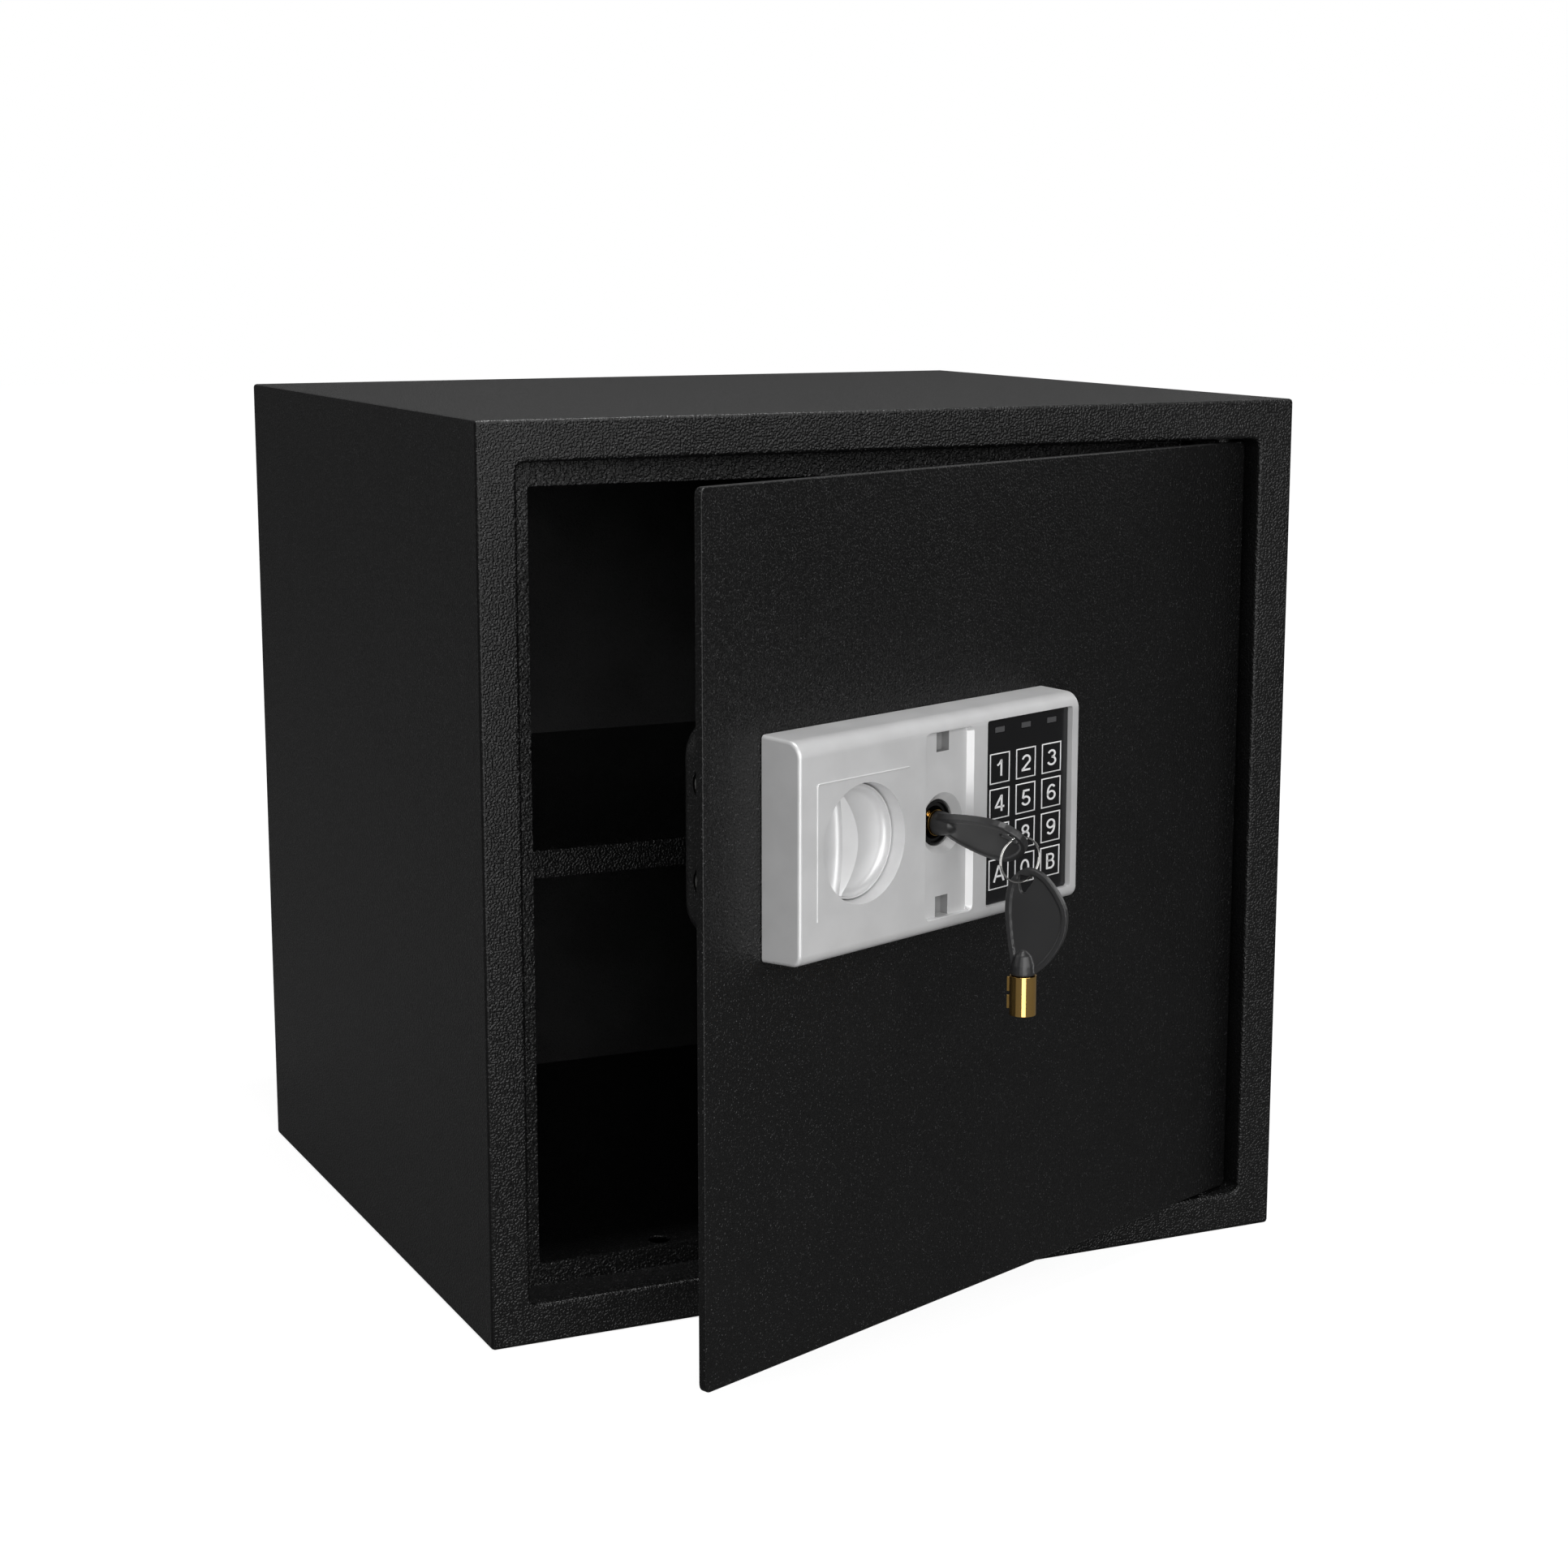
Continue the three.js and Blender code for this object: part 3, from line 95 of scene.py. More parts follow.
def colour(name, description, value):
    """Setting for a linear colour."""
    return bpy.props.FloatVectorProperty(
        name=name, description=description, default=value, subtype="COLOR", min=0, max=1
    )


def factor(name, description, value):
    """Setting for a share from none to all."""
    return bpy.props.FloatProperty(
        name=name, description=description, default=value, min=0, max=1, subtype="FACTOR"
    )


def number(name, description, value):
    """Setting for a number with no unit that Blender converts."""
    return bpy.props.FloatProperty(name=name, description=description, default=value)


class CoatSettings(bpy.types.PropertyGroup):
    """Wrinkle powder coat of the cabinet and the door."""

    colour: colour("Coat", "Colour of the powder coat", (0.0036, 0.0036, 0.0037))
    # The rear sheet's lighter colour is painted light, standing in for light that reaches into the cabinet;
    # its smoother relief is the coat's own
    inside: colour("Inside", "Colour of the coat on the rear sheet", (0.06, 0.06, 0.061))
    rubbed: factor("Rubbed", "Gloss of the coat on rubbed edges that look up", 1.0)
    # The glint colour is a painted highlight: pale dots mixed into the coat stand in for light caught by the
    # wrinkles
    painted_glint: colour("Glint", "Colour of the pale grains in the coat", (0.15, 0.15, 0.153))
    wrinkle: length("Wrinkle", "Distance between two wrinkles", 0.001)
    relief: length("Relief", "Height of the wrinkles", 0.0002)
    roughness: factor("Roughness", "Roughness of the coat", 0.34)
    edge: length("Edge", "Rounding of the folded sheet", 0.0007)
    corner: length("Corner", "Rounding of the cabinet's outer edges", 0.0018)


class PanelSettings(bpy.types.PropertyGroup):
    """Moulded silver housing and its knob."""

    colour: colour("Silver", "Colour of the moulded housing", (0.76, 0.76, 0.763))
    knob: colour("Knob", "Colour of the knob", (0.74, 0.74, 0.743))
    grain: length("Grain", "Size of the moulded grain", 0.0004)
    edge: length("Edge", "Rounding of moulded edges", 0.00035)
    corner: length("Corner", "Rounding of the housing's front outline", 0.0016)
    bead: length("Bead", "Width of the raised line round the dish", 0.0007)
    bead_rise: length("Bead rise", "Height of the raised line", 0.0004)
    skirt: length("Skirt", "Part of the housing next to the door that keeps its sharp outline", 0.004)
    sheen: factor("Sheen", "Share of metal flake in the silver paint", 0.3)
    shade: factor("Shade", "Colour left in the shaded clip pockets", 0.35)
    pocket: length("Pocket", "Half the width of a clip pocket", 0.0043)
    pocket_near: length("Pocket near", "Height at which a pocket may start, from the lock's middle", 0.02)
    pocket_far: length("Pocket far", "Height at which a pocket has ended, from the lock's middle", 0.04)
    pocket_floor: length("Pocket floor", "Depth from the front at which only pockets lie", 0.0028)


class KeypadSettings(bpy.types.PropertyGroup):
    """Printed film over the twelve buttons."""

    film: colour("Film", "Colour of the keypad film", (0.0085, 0.0085, 0.0092))
    ink: colour("Ink", "Colour of the printed frames and legends", (0.93, 0.93, 0.93))
    lamp: colour("Lamp", "Colour of the unlit lamp windows", (0.085, 0.085, 0.088))
    line: length("Line", "Width of the level lines of the printed frames", 0.00052)
    legend: length("Legend", "Height of the legends", 0.0069)
    pen: length("Pen", "Width of the strokes of a legend", 0.00085)
    relief: length("Relief", "Thickness of the printed ink", 0.00006)
    stretch: number("Stretch", "Width of a legend against its height", 1.42)
    aside: length("Aside", "Shift of a legend to the right in its frame", 0.0003)


class KeySettings(bpy.types.PropertyGroup):
    """Tubular keys and the split ring that joins them."""

    head: colour("Head", "Colour of the moulded key heads", (0.02, 0.02, 0.0206))
    brass: colour("Brass", "Colour of the turned shafts", (0.8, 0.5, 0.16))
    ring: colour("Ring", "Colour of the nickel ring", (0.72, 0.71, 0.69))
    edge: length("Edge", "Rounding of a turned shaft", 0.00018)
    voxel: length("Voxel", "Grid on which a head is blended", 0.0003)
    wire: length("Wire", "Radius of the ring's wire", 0.00034)
    turns: number("Turns", "Turns of the ring's wire", 1.92)
    pitch: number("Pitch", "Distance of two turns of the wire against its width", 1.02)


class FittingSettings(bpy.types.PropertyGroup):
    """Metal and plastic fittings behind the door."""

    zinc: colour("Zinc", "Colour of the plated steel", (0.5, 0.5, 0.48))
    board: colour("Board", "Colour of the circuit boards", (0.01, 0.07, 0.03))
    sleeve: colour("Sleeve", "Colour of the cell sleeves", (0.03, 0.06, 0.15))
    plastic: colour("Plastic", "Colour of the dark mouldings", (0.02, 0.02, 0.021))
    button: colour("Button", "Colour of the reset button", (0.4, 0.012, 0.01))
    edge: length("Edge", "Rounding of the small mouldings, a little less than of bolts and cover", 0.0002)
    screw: length("Screw", "Radius of a cover screw's head", 0.0036)
    screw_rise: length("Screw rise", "Height of a cover screw's head", 0.0022)


class StageSettings(bpy.types.PropertyGroup):
    """Camera, lamps, floor and background."""

    lens: number("Lens", "Focal length on a 36 mm sensor, in millimetres", 66.65)
    azimuth: number("Azimuth", "Turn of the camera about Z, in degrees", -24.959)
    elevation: number("Elevation", "Camera's height above level, in degrees", 10.504)
    camera: bpy.props.FloatVectorProperty(
        name="Camera",
        description="Place of the camera",
        default=(-0.5873, -1.3048, 0.4698),
        subtype="TRANSLATION",
    )
    front: number("Front", "Power of the wide front lamp in watts", 38)
    left: number("Left", "Power of the front left lamp in watts", 8)
    back: number("Back", "Power of the high lamp behind in watts", 3.3)
    rear: number("Rear", "Power of the lamp right of the back in watts, three times the left one's", 10)
    card: number("Card", "Power of the low lamp before the front in watts", 0.75)
    top: number("Top", "Power of the strip lamp overhead in watts", 27)
    ambient: number("Ambient", "Strength of the sky on the object", 0.01)
    mirrored: factor("Mirrored", "How bright metal shows the white background", 0.05)
    floor: factor("Floor", "How pale the floor is to light that falls back on the object", 0.14)
    radius: length("Radius", "Radius of the floor", 9.0)
    below: length("Below", "Gap between the floor and the safe's base", 0.0003)


# Small tools


def object_of(name, data):
    """New object in the scene for a mesh, curve, lamp or camera."""
    made = bpy.data.objects.new(name, data)
    bpy.context.scene.collection.objects.link(made)
    return made


def finish_mesh(mesh, sharp=32):
    """Smooth shading, broken at edges sharper than an angle in degrees."""
    mesh.shade_smooth()
    mesh.set_sharp_from_angle(angle=math.radians(sharp))


def plain_mesh(obj, name):
    """Evaluated copy of an object as a plain mesh object that sits at the origin."""
    bpy.context.view_layer.update()
    graph = bpy.context.evaluated_depsgraph_get()
    mesh = bpy.data.meshes.new_from_object(obj.evaluated_get(graph), depsgraph=graph)
    mesh.transform(obj.matrix_world)
    bpy.data.objects.remove(obj)
    mesh.name = name
    return object_of(name, mesh)


def dress(piece, material, body, replaces=()):
    """Gives a piece its material, its body and the nodes that it stands for."""
    if material is not None:
        piece.data.materials.clear()
        piece.data.materials.append(material)
    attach(piece, body)
    if replaces:
        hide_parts(*replaces)


def coat_node(node, material):
    """A CAD node keeps its mesh and takes a finer material."""
    obj = frame["nodes"][node]
    obj.data.materials.clear()
    obj.data.materials.append(material)
    finish_mesh(obj.data)


def node_copy(node, drop=None, weld=2e-6, flat=0.4):
    """Merged copy of a CAD node's mesh with its flat faces joined.

    drop says which points of a raised part are left off. weld is a length and flat an angle in degrees.
    """
    copy = bmesh.new()
    copy.from_mesh(frame["nodes"][node].data)
    bmesh.ops.remove_doubles(copy, verts=copy.verts, dist=weld)
    if drop:
        bmesh.ops.delete(copy, geom=[vertex for vertex in copy.verts if drop(vertex.co)], context="VERTS")
        rim = [edge for edge in copy.edges if edge.is_boundary]
        bmesh.ops.contextual_create(copy, geom=rim)
        bmesh.ops.recalc_face_normals(copy, faces=copy.faces)
    bmesh.ops.dissolve_limit(
        copy,
        angle_limit=math.radians(flat),
        verts=copy.verts,
        edges=copy.edges,
        use_dissolve_boundaries=False,
    )
    return copy


def mark_outline(mesh, keep, slack=0.0006, turn=50):
    """Gives a bevel weight to the outline: edges of at least a turn whose two faces bound the whole mesh."""
    shape = bmesh.new()
    shape.from_mesh(mesh)
    weight = shape.edges.layers.float.new("bevel_weight_edge")
    points = numpy.array([vertex.co for vertex in shape.verts])
    for edge in shape.edges:
        if len(edge.link_faces) != 2 or edge.calc_face_angle() < math.radians(turn):
            continue
        middle = (edge.verts[0].co + edge.verts[1].co) / 2
        normals = [face.normal for face in edge.link_faces]
        bounds = all((points @ numpy.array(normal)).max() < normal.dot(middle) + slack for normal in normals)
        if bounds and keep(middle):
            edge[weight] = 1.0
    shape.to_mesh(mesh)
    shape.free()


def add_bevel(obj, width, segments, method, angle=0.0, paint=-1):
    """Bevel of the edges that have a weight, or are sharper than an angle in degrees."""
    bevel = obj.modifiers.new("Rounded " + method.lower(), "BEVEL")
    bevel.width = width
    bevel.segments = segments
    bevel.limit_method = method
    bevel.angle_limit = math.radians(angle)
    bevel.use_clamp_overlap = True
    bevel.material = paint


def rounded_copy(
    node,
    name,
    radius,
    angle=42,
    segments=2,
    sharp=32,
    outer=0.0,
    keep=lambda point: True,
    drop=None,
    paints=(),
):
    """Copy of a CAD node as a plain mesh, with its edges rounded where they are sharper than an angle.

    outer is the outline's own radius, and keep says which of its edges take it. Its faces take the last
    of the paints. drop says which points are left off.
    """
    copy = node_copy(node, drop)
    mesh = bpy.data.meshes.new(name + "_blank")
    copy.to_mesh(mesh)
    copy.free()
    mesh.materials.clear()
    for paint in paints:
        mesh.materials.append(paint)
    blank = object_of(name + "_blank", mesh)
    if outer:
        mark_outline(mesh, keep)
        add_bevel(blank, outer, 4, "WEIGHT", paint=len(paints) - 1)
    add_bevel(blank, radius, segments, "ANGLE", angle)
    made = plain_mesh(blank, name)
    finish_mesh(made.data, sharp)
    weigh = made.modifiers.new("Flat faces", "WEIGHTED_NORMAL")
    weigh.keep_sharp = True
    return plain_mesh(made, name)


def arc(x, z, wide, tall, start, end, steps=14):
    """Points of an elliptic arc, angles in degrees from +X, counted towards +Z."""
    turns = [math.radians(start + (end - start) * k / steps) for k in range(steps + 1)]
    return [(x + wide * math.cos(turn), z + tall * math.sin(turn)) for turn in turns]


# Node tools


class Nodes:
    """Adds nodes to a tree and links them by name."""

    def __init__(self, tree):
        self.tree = tree

    def add(self, kind, inputs=None, **settings):
        node = self.tree.nodes.new(kind)
        for key, value in settings.items():
            setattr(node, key, value)
        for key, value in (inputs or {}).items():
            socket = node.inputs[key]
            if isinstance(value, bpy.types.NodeSocket):
                self.tree.links.new(value, socket)
            else:
                socket.default_value = value
        return node

    def math(self, operation, a, b=0.0):
        return self.add("ShaderNodeMath", {0: a, 1: b}, operation=operation).outputs[0]

    def noise(self, place, scale, detail):
        inputs = {"Vector": place, "Scale": scale, "Detail": detail}
        return self.add("ShaderNodeTexNoise", inputs).outputs["Fac"]

    def span(self, value, low, high, start=0.0, end=1.0):
        """Smooth step of a value between low and high, from start to end."""
        node = self.add(
            "ShaderNodeMapRange",
            {"Value": value, "From Min": low, "From Max": high, "To Min": start, "To Max": end},
            interpolation_type="SMOOTHSTEP",
        )
        return node.outputs["Result"]

    def mix(self, amount, a, b):
        """Colour between two colours."""
        node = self.add("ShaderNodeMix", {"Factor": amount}, data_type="RGBA")
        for key, value in (("A", a), ("B", b)):
            socket = next(s for s in node.inputs if s.name == key and s.type == "RGBA")
            if isinstance(value, bpy.types.NodeSocket):
                self.tree.links.new(value, socket)
            else:
                socket.default_value = (*value, 1.0)
        return next(s for s in node.outputs if s.type == "RGBA")


def shader_group(name, inputs, outputs):
    """Empty shader group with named sockets, its tool, and the sockets that it is given and puts out."""
    tree = bpy.data.node_groups.new(name, "ShaderNodeTree")
    for label, kind, value in inputs:
        socket = tree.interface.new_socket(label, in_out="INPUT", socket_type="NodeSocket" + kind)
        socket.default_value = value
    for label, kind in outputs:
        tree.interface.new_socket(label, in_out="OUTPUT", socket_type="NodeSocket" + kind)
    nodes = Nodes(tree)
    return tree, nodes, nodes.add("NodeGroupInput").outputs, nodes.add("NodeGroupOutput").inputs


def wrinkle_group():
    """Wrinkle coat: worms with a fine roughness on them, painted glints that stand in for highlights, and
    broad tones.
    """
    fine_scale, fine_share = 2.3, 0.3
    glint_scale, glint_rarity = 1.1, 0.82
    tones_per_metre = 22.0
    tree, nodes, given, out = shader_group(
        "Wrinkle coat",
        [("Spacing", "Float", 0.0016), ("Glint Amount", "Float", 0.5), ("Rough", "Float", 0.35)],
        [("Height", "Float"), ("Glint", "Float"), ("Roughness", "Float"), ("Shade", "Float")],
    )
    place = nodes.add("ShaderNodeTexCoord").outputs["Object"]
    scale = nodes.math("DIVIDE", 1.0, given["Spacing"])
    # A plain noise cut at its middle leaves worms as wide as their gaps
    ridge = nodes.span(nodes.noise(place, scale, 0.0), 0.34, 0.66)
    fine = nodes.noise(place, nodes.math("MULTIPLY", scale, fine_scale), 2.0)
    broad = nodes.noise(place, tones_per_metre, 2.0)
    height = nodes.math("ADD", ridge, nodes.math("MULTIPLY", fine, fine_share))
    # Painted highlights: rare pale dots in the coat's colour stand in for glints on the wrinkles
    cells = nodes.math("MULTIPLY", scale, glint_scale)
    glints = nodes.add("ShaderNodeTexVoronoi", {"Vector": place, "Scale": cells})
    lot = nodes.add("ShaderNodeSeparateColor", {"Color": glints.outputs["Color"]}).outputs[0]
    chosen = nodes.math("GREATER_THAN", lot, glint_rarity)
    grain = nodes.math("MULTIPLY", nodes.span(glints.outputs["Distance"], 0.18, 0.3, 1.0, 0.0), chosen)
    glint = nodes.math("MULTIPLY", grain, given["Glint Amount"])
    rough = nodes.math("ADD", given["Rough"], nodes.span(fine, 0.3, 0.7, -0.1, 0.14))
    links = tree.links
    links.new(height, out["Height"])
    links.new(glint, out["Glint"])
    links.new(rough, out["Roughness"])
    links.new(nodes.span(broad, 0.3, 0.7, 0.85, 1.15), out["Shade"])
    return tree


def grain_group():
    """Fine even grain of moulded plastic, with faint rubbed places."""
    places_per_metre = 55.0
    tree, nodes, given, out = shader_group(
        "Moulded grain",
        [("Spacing", "Float", 0.0004), ("Rough", "Float", 0.4), ("Spread", "Float", 0.08)],
        [("Height", "Float"), ("Roughness", "Float"), ("Shade", "Float")],
    )
    place = nodes.add("ShaderNodeTexCoord").outputs["Object"]
    scale = nodes.math("DIVIDE", 1.0, given["Spacing"])
    fine = nodes.noise(place, scale, 2.0)
    broad = nodes.noise(place, places_per_metre, 3.0)
    spread = nodes.math("MULTIPLY", nodes.math("SUBTRACT", broad, 0.5), given["Spread"])
    rough = nodes.math("ADD", given["Rough"], spread)
    links = tree.links
    links.new(fine, out["Height"])
    links.new(rough, out["Roughness"])
    links.new(nodes.span(broad, 0.3, 0.7, 0.96, 1.03), out["Shade"])
    return tree


def turned_group():
    """Fine lines and handling marks of turned or drawn metal."""
    marks_per_metre = 240.0
    mark_rough, mark_shade = 0.22, 0.25
    tree, nodes, given, out = shader_group(
        "Worn metal",
        [("Spacing", "Float", 0.0006), ("Rough", "Float", 0.2), ("Marks", "Float", 0.5)],
        [("Height", "Float"), ("Roughness", "Float"), ("Shade", "Float")],
    )
    place = nodes.add("ShaderNodeTexCoord").outputs["Object"]
    scale = nodes.math("DIVIDE", 1.0, given["Spacing"])
    stretched = nodes.add("ShaderNodeMapping", {"Vector": place, "Scale": (0.12, 0.12, 1.0)}).outputs[0]
    lines = nodes.noise(stretched, scale, 3.0)
    smear = nodes.noise(place, marks_per_metre, 3.0)
    marks = nodes.math("MULTIPLY", nodes.span(smear, 0.45, 0.75), given["Marks"])
    rough = nodes.math("ADD", given["Rough"], nodes.math("MULTIPLY", marks, mark_rough))
    links = tree.links
    links.new(lines, out["Height"])
    links.new(rough, out["Roughness"])
    links.new(nodes.math("SUBTRACT", 1.0, nodes.math("MULTIPLY", marks, mark_shade)), out["Shade"])
    return tree


# Materials


groups = {}
looks = {}


def use_group(nodes, maker, **values):
    """Places a node group in a material with its own values, and builds the group the first time."""
    if maker not in groups:
        groups[maker] = maker()
    node = nodes.add("ShaderNodeGroup", node_tree=groups[maker])
    for key, value in values.items():
        node.inputs[key.replace("_", " ")].default_value = value
    return node.outputs


def new_material(name):
    material = bpy.data.materials.new(name)
    material.use_nodes = True
    tree = material.node_tree
    shader = tree.nodes["Principled BSDF"]
    return material, Nodes(tree), shader


def shaded(nodes, shade, tone):
    """A colour made lighter and darker by a value near one."""
    return nodes.add("ShaderNodeVectorMath", {0: tuple(tone), "Scale": shade}, operation="SCALE").outputs[0]


def bump(nodes, shader, height, distance):
    node = nodes.add("ShaderNodeBump", {"Height": height, "Distance": distance, "Strength": 1.0})
    nodes.tree.links.new(node.outputs["Normal"], shader.inputs["Normal"])


def coat_material(name, settings, tone, glint=0.8, specular=0.36, depth=1.0, rubbed=None):
    """Powder coat. depth is the share of the wrinkles' height, and rubbed the gloss of edges that look up."""
    material, nodes, shader = new_material(name)
    wrinkle, rough = settings.wrinkle, settings.roughness
    coat = use_group(nodes, wrinkle_group, Spacing=wrinkle, Glint_Amount=glint, Rough=rough)
    base = shaded(nodes, coat["Shade"], tone)
    links = nodes.tree.links
    # The Glint mask mixes painted highlights, pale dots, into the coat's colour
    links.new(nodes.mix(coat["Glint"], base, settings.painted_glint), shader.inputs["Base Color"])
    links.new(coat["Roughness"], shader.inputs["Roughness"])
    shader.inputs["Specular IOR Level"].default_value = specular
    if rubbed is not None:
        normal = nodes.add("ShaderNodeTexCoord").outputs["Normal"]
        upward = nodes.add("ShaderNodeSeparateXYZ", {"Vector": normal}).outputs["Z"]
        links.new(nodes.span(upward, 0.2, 0.6, specular, rubbed), shader.inputs["Specular IOR Level"])
    bump(nodes, shader, coat["Height"], settings.relief * depth)
    return material


def plastic_material(name, tone, spacing, rough, relief=0.00001, specular=0.5, flake=0.0, spread=0.08):
    """Moulded plastic, lacquer or ink. flake is its share of metal, and spread the range of its roughness."""
    material, nodes, shader = new_material(name)
    grain = use_group(nodes, grain_group, Spacing=spacing, Rough=rough, Spread=spread)
    links = nodes.tree.links
    links.new(shaded(nodes, grain["Shade"], tone), shader.inputs["Base Color"])
    links.new(grain["Roughness"], shader.inputs["Roughness"])
    shader.inputs["Specular IOR Level"].default_value = specular
    shader.inputs["Metallic"].default_value = flake
    bump(nodes, shader, grain["Height"], relief)
    return material


def metal_material(name, tone, spacing, rough, marks=0.5, relief=0.000006):
    """Bare or plated metal. marks says how strong its handling marks are."""
    material, nodes, shader = new_material(name)
    worn = use_group(nodes, turned_group, Spacing=spacing, Rough=rough, Marks=marks)
    links = nodes.tree.links
    links.new(shaded(nodes, worn["Shade"], tone), shader.inputs["Base Color"])
    links.new(worn["Roughness"], shader.inputs["Roughness"])
    shader.inputs["Metallic"].default_value = 1.0
    bump(nodes, shader, worn["Height"], relief)
    return material


def make_looks(scene):
    """Every material of the safe, from the settings."""
    coat, panel, pad = scene.safe_coat, scene.safe_panel, scene.safe_keypad
    keys, fit = scene.safe_keys, scene.safe_fittings
    looks["coat"] = coat_material("Wrinkle powder coat", coat, coat.colour, specular=0.46)
    looks["leaf"] = coat_material("Finer powder coat", coat, coat.colour, glint=0.5, depth=0.8)
    # Lighter colour on the rear sheet: painted light for the light reaching into the cabinet
    looks["inside"] = coat_material("Smooth powder coat inside", coat, coat.inside, glint=0.3, depth=0.3)
    looks["edge"] = coat_material("Rubbed powder coat", coat, coat.colour, depth=0.3, rubbed=coat.rubbed)
    grain, flake = panel.grain, panel.sheen
    looks["silver"] = plastic_material("Silver moulding", panel.colour, grain, 0.38, 0.000012, 0.55, flake)
    looks["knob"] = plastic_material("Silver knob", panel.knob, grain, 0.38, 0.000008, 0.5, flake)
    # Painted shade: a darker copy of the silver for the clip pockets, where no light reaches
    painted_pocket_shade = [tone * panel.shade for tone in panel.colour]
    looks["shade"] = plastic_material("Silver clip pocket painted shade", painted_pocket_shade, grain, 0.5)
    looks["film"] = plastic_material("Keypad film", pad.film, 0.0012, 0.25, 0.000004, 0.3)
    looks["ink"] = plastic_material("White ink", pad.ink, 0.0005, 0.5, 0.000004, 0.3)
    looks["lamp"] = plastic_material("Smoked lamp window", pad.lamp, 0.0006, 0.3, 0.000004, 0.5)
    looks["head"] = plastic_material("Key head moulding", keys.head, 0.00035, 0.38, 0.00001, 0.6, 0.0, 0.14)
    looks["socket"] = plastic_material("Black lock barrel", (0.006, 0.006, 0.006), 0.0005, 0.3, 0.00001, 0.4)
    looks["brass"] = metal_material("Turned brass", keys.brass, 0.0006, 0.1, 0.2, 0.000001)
    looks["nickel"] = metal_material("Bright nickel", keys.ring, 0.0005, 0.1, 0.3)
    looks["zinc"] = metal_material("Zinc-plated steel", fit.zinc, 0.001, 0.3, 0.8, 0.00001)
    looks["dark"] = plastic_material("Dark moulding", fit.plastic, 0.0005, 0.45, 0.00002)
    looks["board"] = plastic_material("Circuit board lacquer", fit.board, 0.0011, 0.3, 0.00003)
    looks["sleeve"] = plastic_material("Cell sleeve", fit.sleeve, 0.002, 0.28, 0.000004)
    looks["red"] = plastic_material("Red moulding", fit.button, 0.0005, 0.35, 0.00001)


# Geometry Nodes tools


def geometry_tree(name, inputs):
    """Empty geometry tree with named inputs, its tool, and the sockets that it is given and puts out."""
    tree = bpy.data.node_groups.new(name, "GeometryNodeTree")
    tree.interface.new_socket("Geometry", in_out="OUTPUT", socket_type="NodeSocketGeometry")
    for label, kind, value in inputs:
        socket = tree.interface.new_socket(label, in_out="INPUT", socket_type="NodeSocket" + kind)
        socket.default_value = value
    nodes = Nodes(tree)
    return tree, nodes, nodes.add("NodeGroupInput").outputs, nodes.add("NodeGroupOutput").inputs


def end_tree(nodes, geometry, material, out):
    """Makes instances real and paints them, at the end of a tree."""
    real = nodes.add("GeometryNodeRealizeInstances", {"Geometry": geometry})
    painted = nodes.add("GeometryNodeSetMaterial", {"Geometry": real.outputs[0]})
    painted.inputs["Material"].default_value = material
    nodes.tree.links.new(painted.outputs[0], out["Geometry"])


def grow(tree, name, values, place=Matrix.Identity(4)):
    """Runs a tree with its named values and returns the result as a plain mesh."""
    seed = object_of(name + "_seed", bpy.data.meshes.new(name + "_seed"))
    modifier = seed.modifiers.new(tree.name, "NODES")
    modifier.node_group = tree
    for socket in tree.interface.items_tree:
        if socket.in_out == "INPUT" and socket.name in values:
            modifier[socket.identifier] = values[socket.name]
    made = plain_mesh(seed, name)
    made.data.transform(place)
    return made


def frame_tree(material):
    """Printed frame of one button."""
    tree, nodes, given, out = geometry_tree(
        "Printed frame",
        [
            ("Width", "Float", 0.0134),
            ("Height", "Float", 0.013),
            ("Line", "Float", 0.0004),
            ("Relief", "Float", 0.00006),
        ],
    )
    size = {"Width": given["Width"], "Height": given["Height"]}
    path = nodes.add("GeometryNodeCurvePrimitiveQuadrilateral", size)
    # A mitred corner draws the section in by the square root of two, so the section is that much wider
    wide = nodes.math("MULTIPLY", given["Line"], math.sqrt(2))
    pen = {"Width": wide, "Height": given["Relief"]}
    section = nodes.add("GeometryNodeCurvePrimitiveQuadrilateral", pen)
    sweep = {"Curve": path.outputs[0], "Profile Curve": section.outputs[0]}
    line = nodes.add("GeometryNodeCurveToMesh", sweep)
    end_tree(nodes, line.outputs[0], material, out)
    return tree


def ring_tree(material, resolution=48, sides=10):
    """Wire wound in a close spiral."""
    tree, nodes, given, out = geometry_tree(
        "Split ring",
        [
            ("Radius", "Float", 0.0091),
            ("Wire", "Float", 0.0003),
            ("Pitch", "Float", 0.0006),
            ("Turns", "Float", 1.9),
        ],
    )
    rise = nodes.math("MULTIPLY", given["Pitch"], given["Turns"])
    path = nodes.add(
        "GeometryNodeCurveSpiral",
        {
            "Resolution": resolution,
            "Rotations": given["Turns"],
            "Start Radius": given["Radius"],
            "End Radius": given["Radius"],
            "Height": rise,
        },
    )
    section = nodes.add("GeometryNodeCurvePrimitiveCircle", {"Resolution": sides, "Radius": given["Wire"]})
    wire = nodes.add(
        "GeometryNodeCurveToMesh",
        {"Curve": path.outputs[0], "Profile Curve": section.outputs[0], "Fill Caps": True},
    )
    end_tree(nodes, wire.outputs[0], material, out)
    return tree


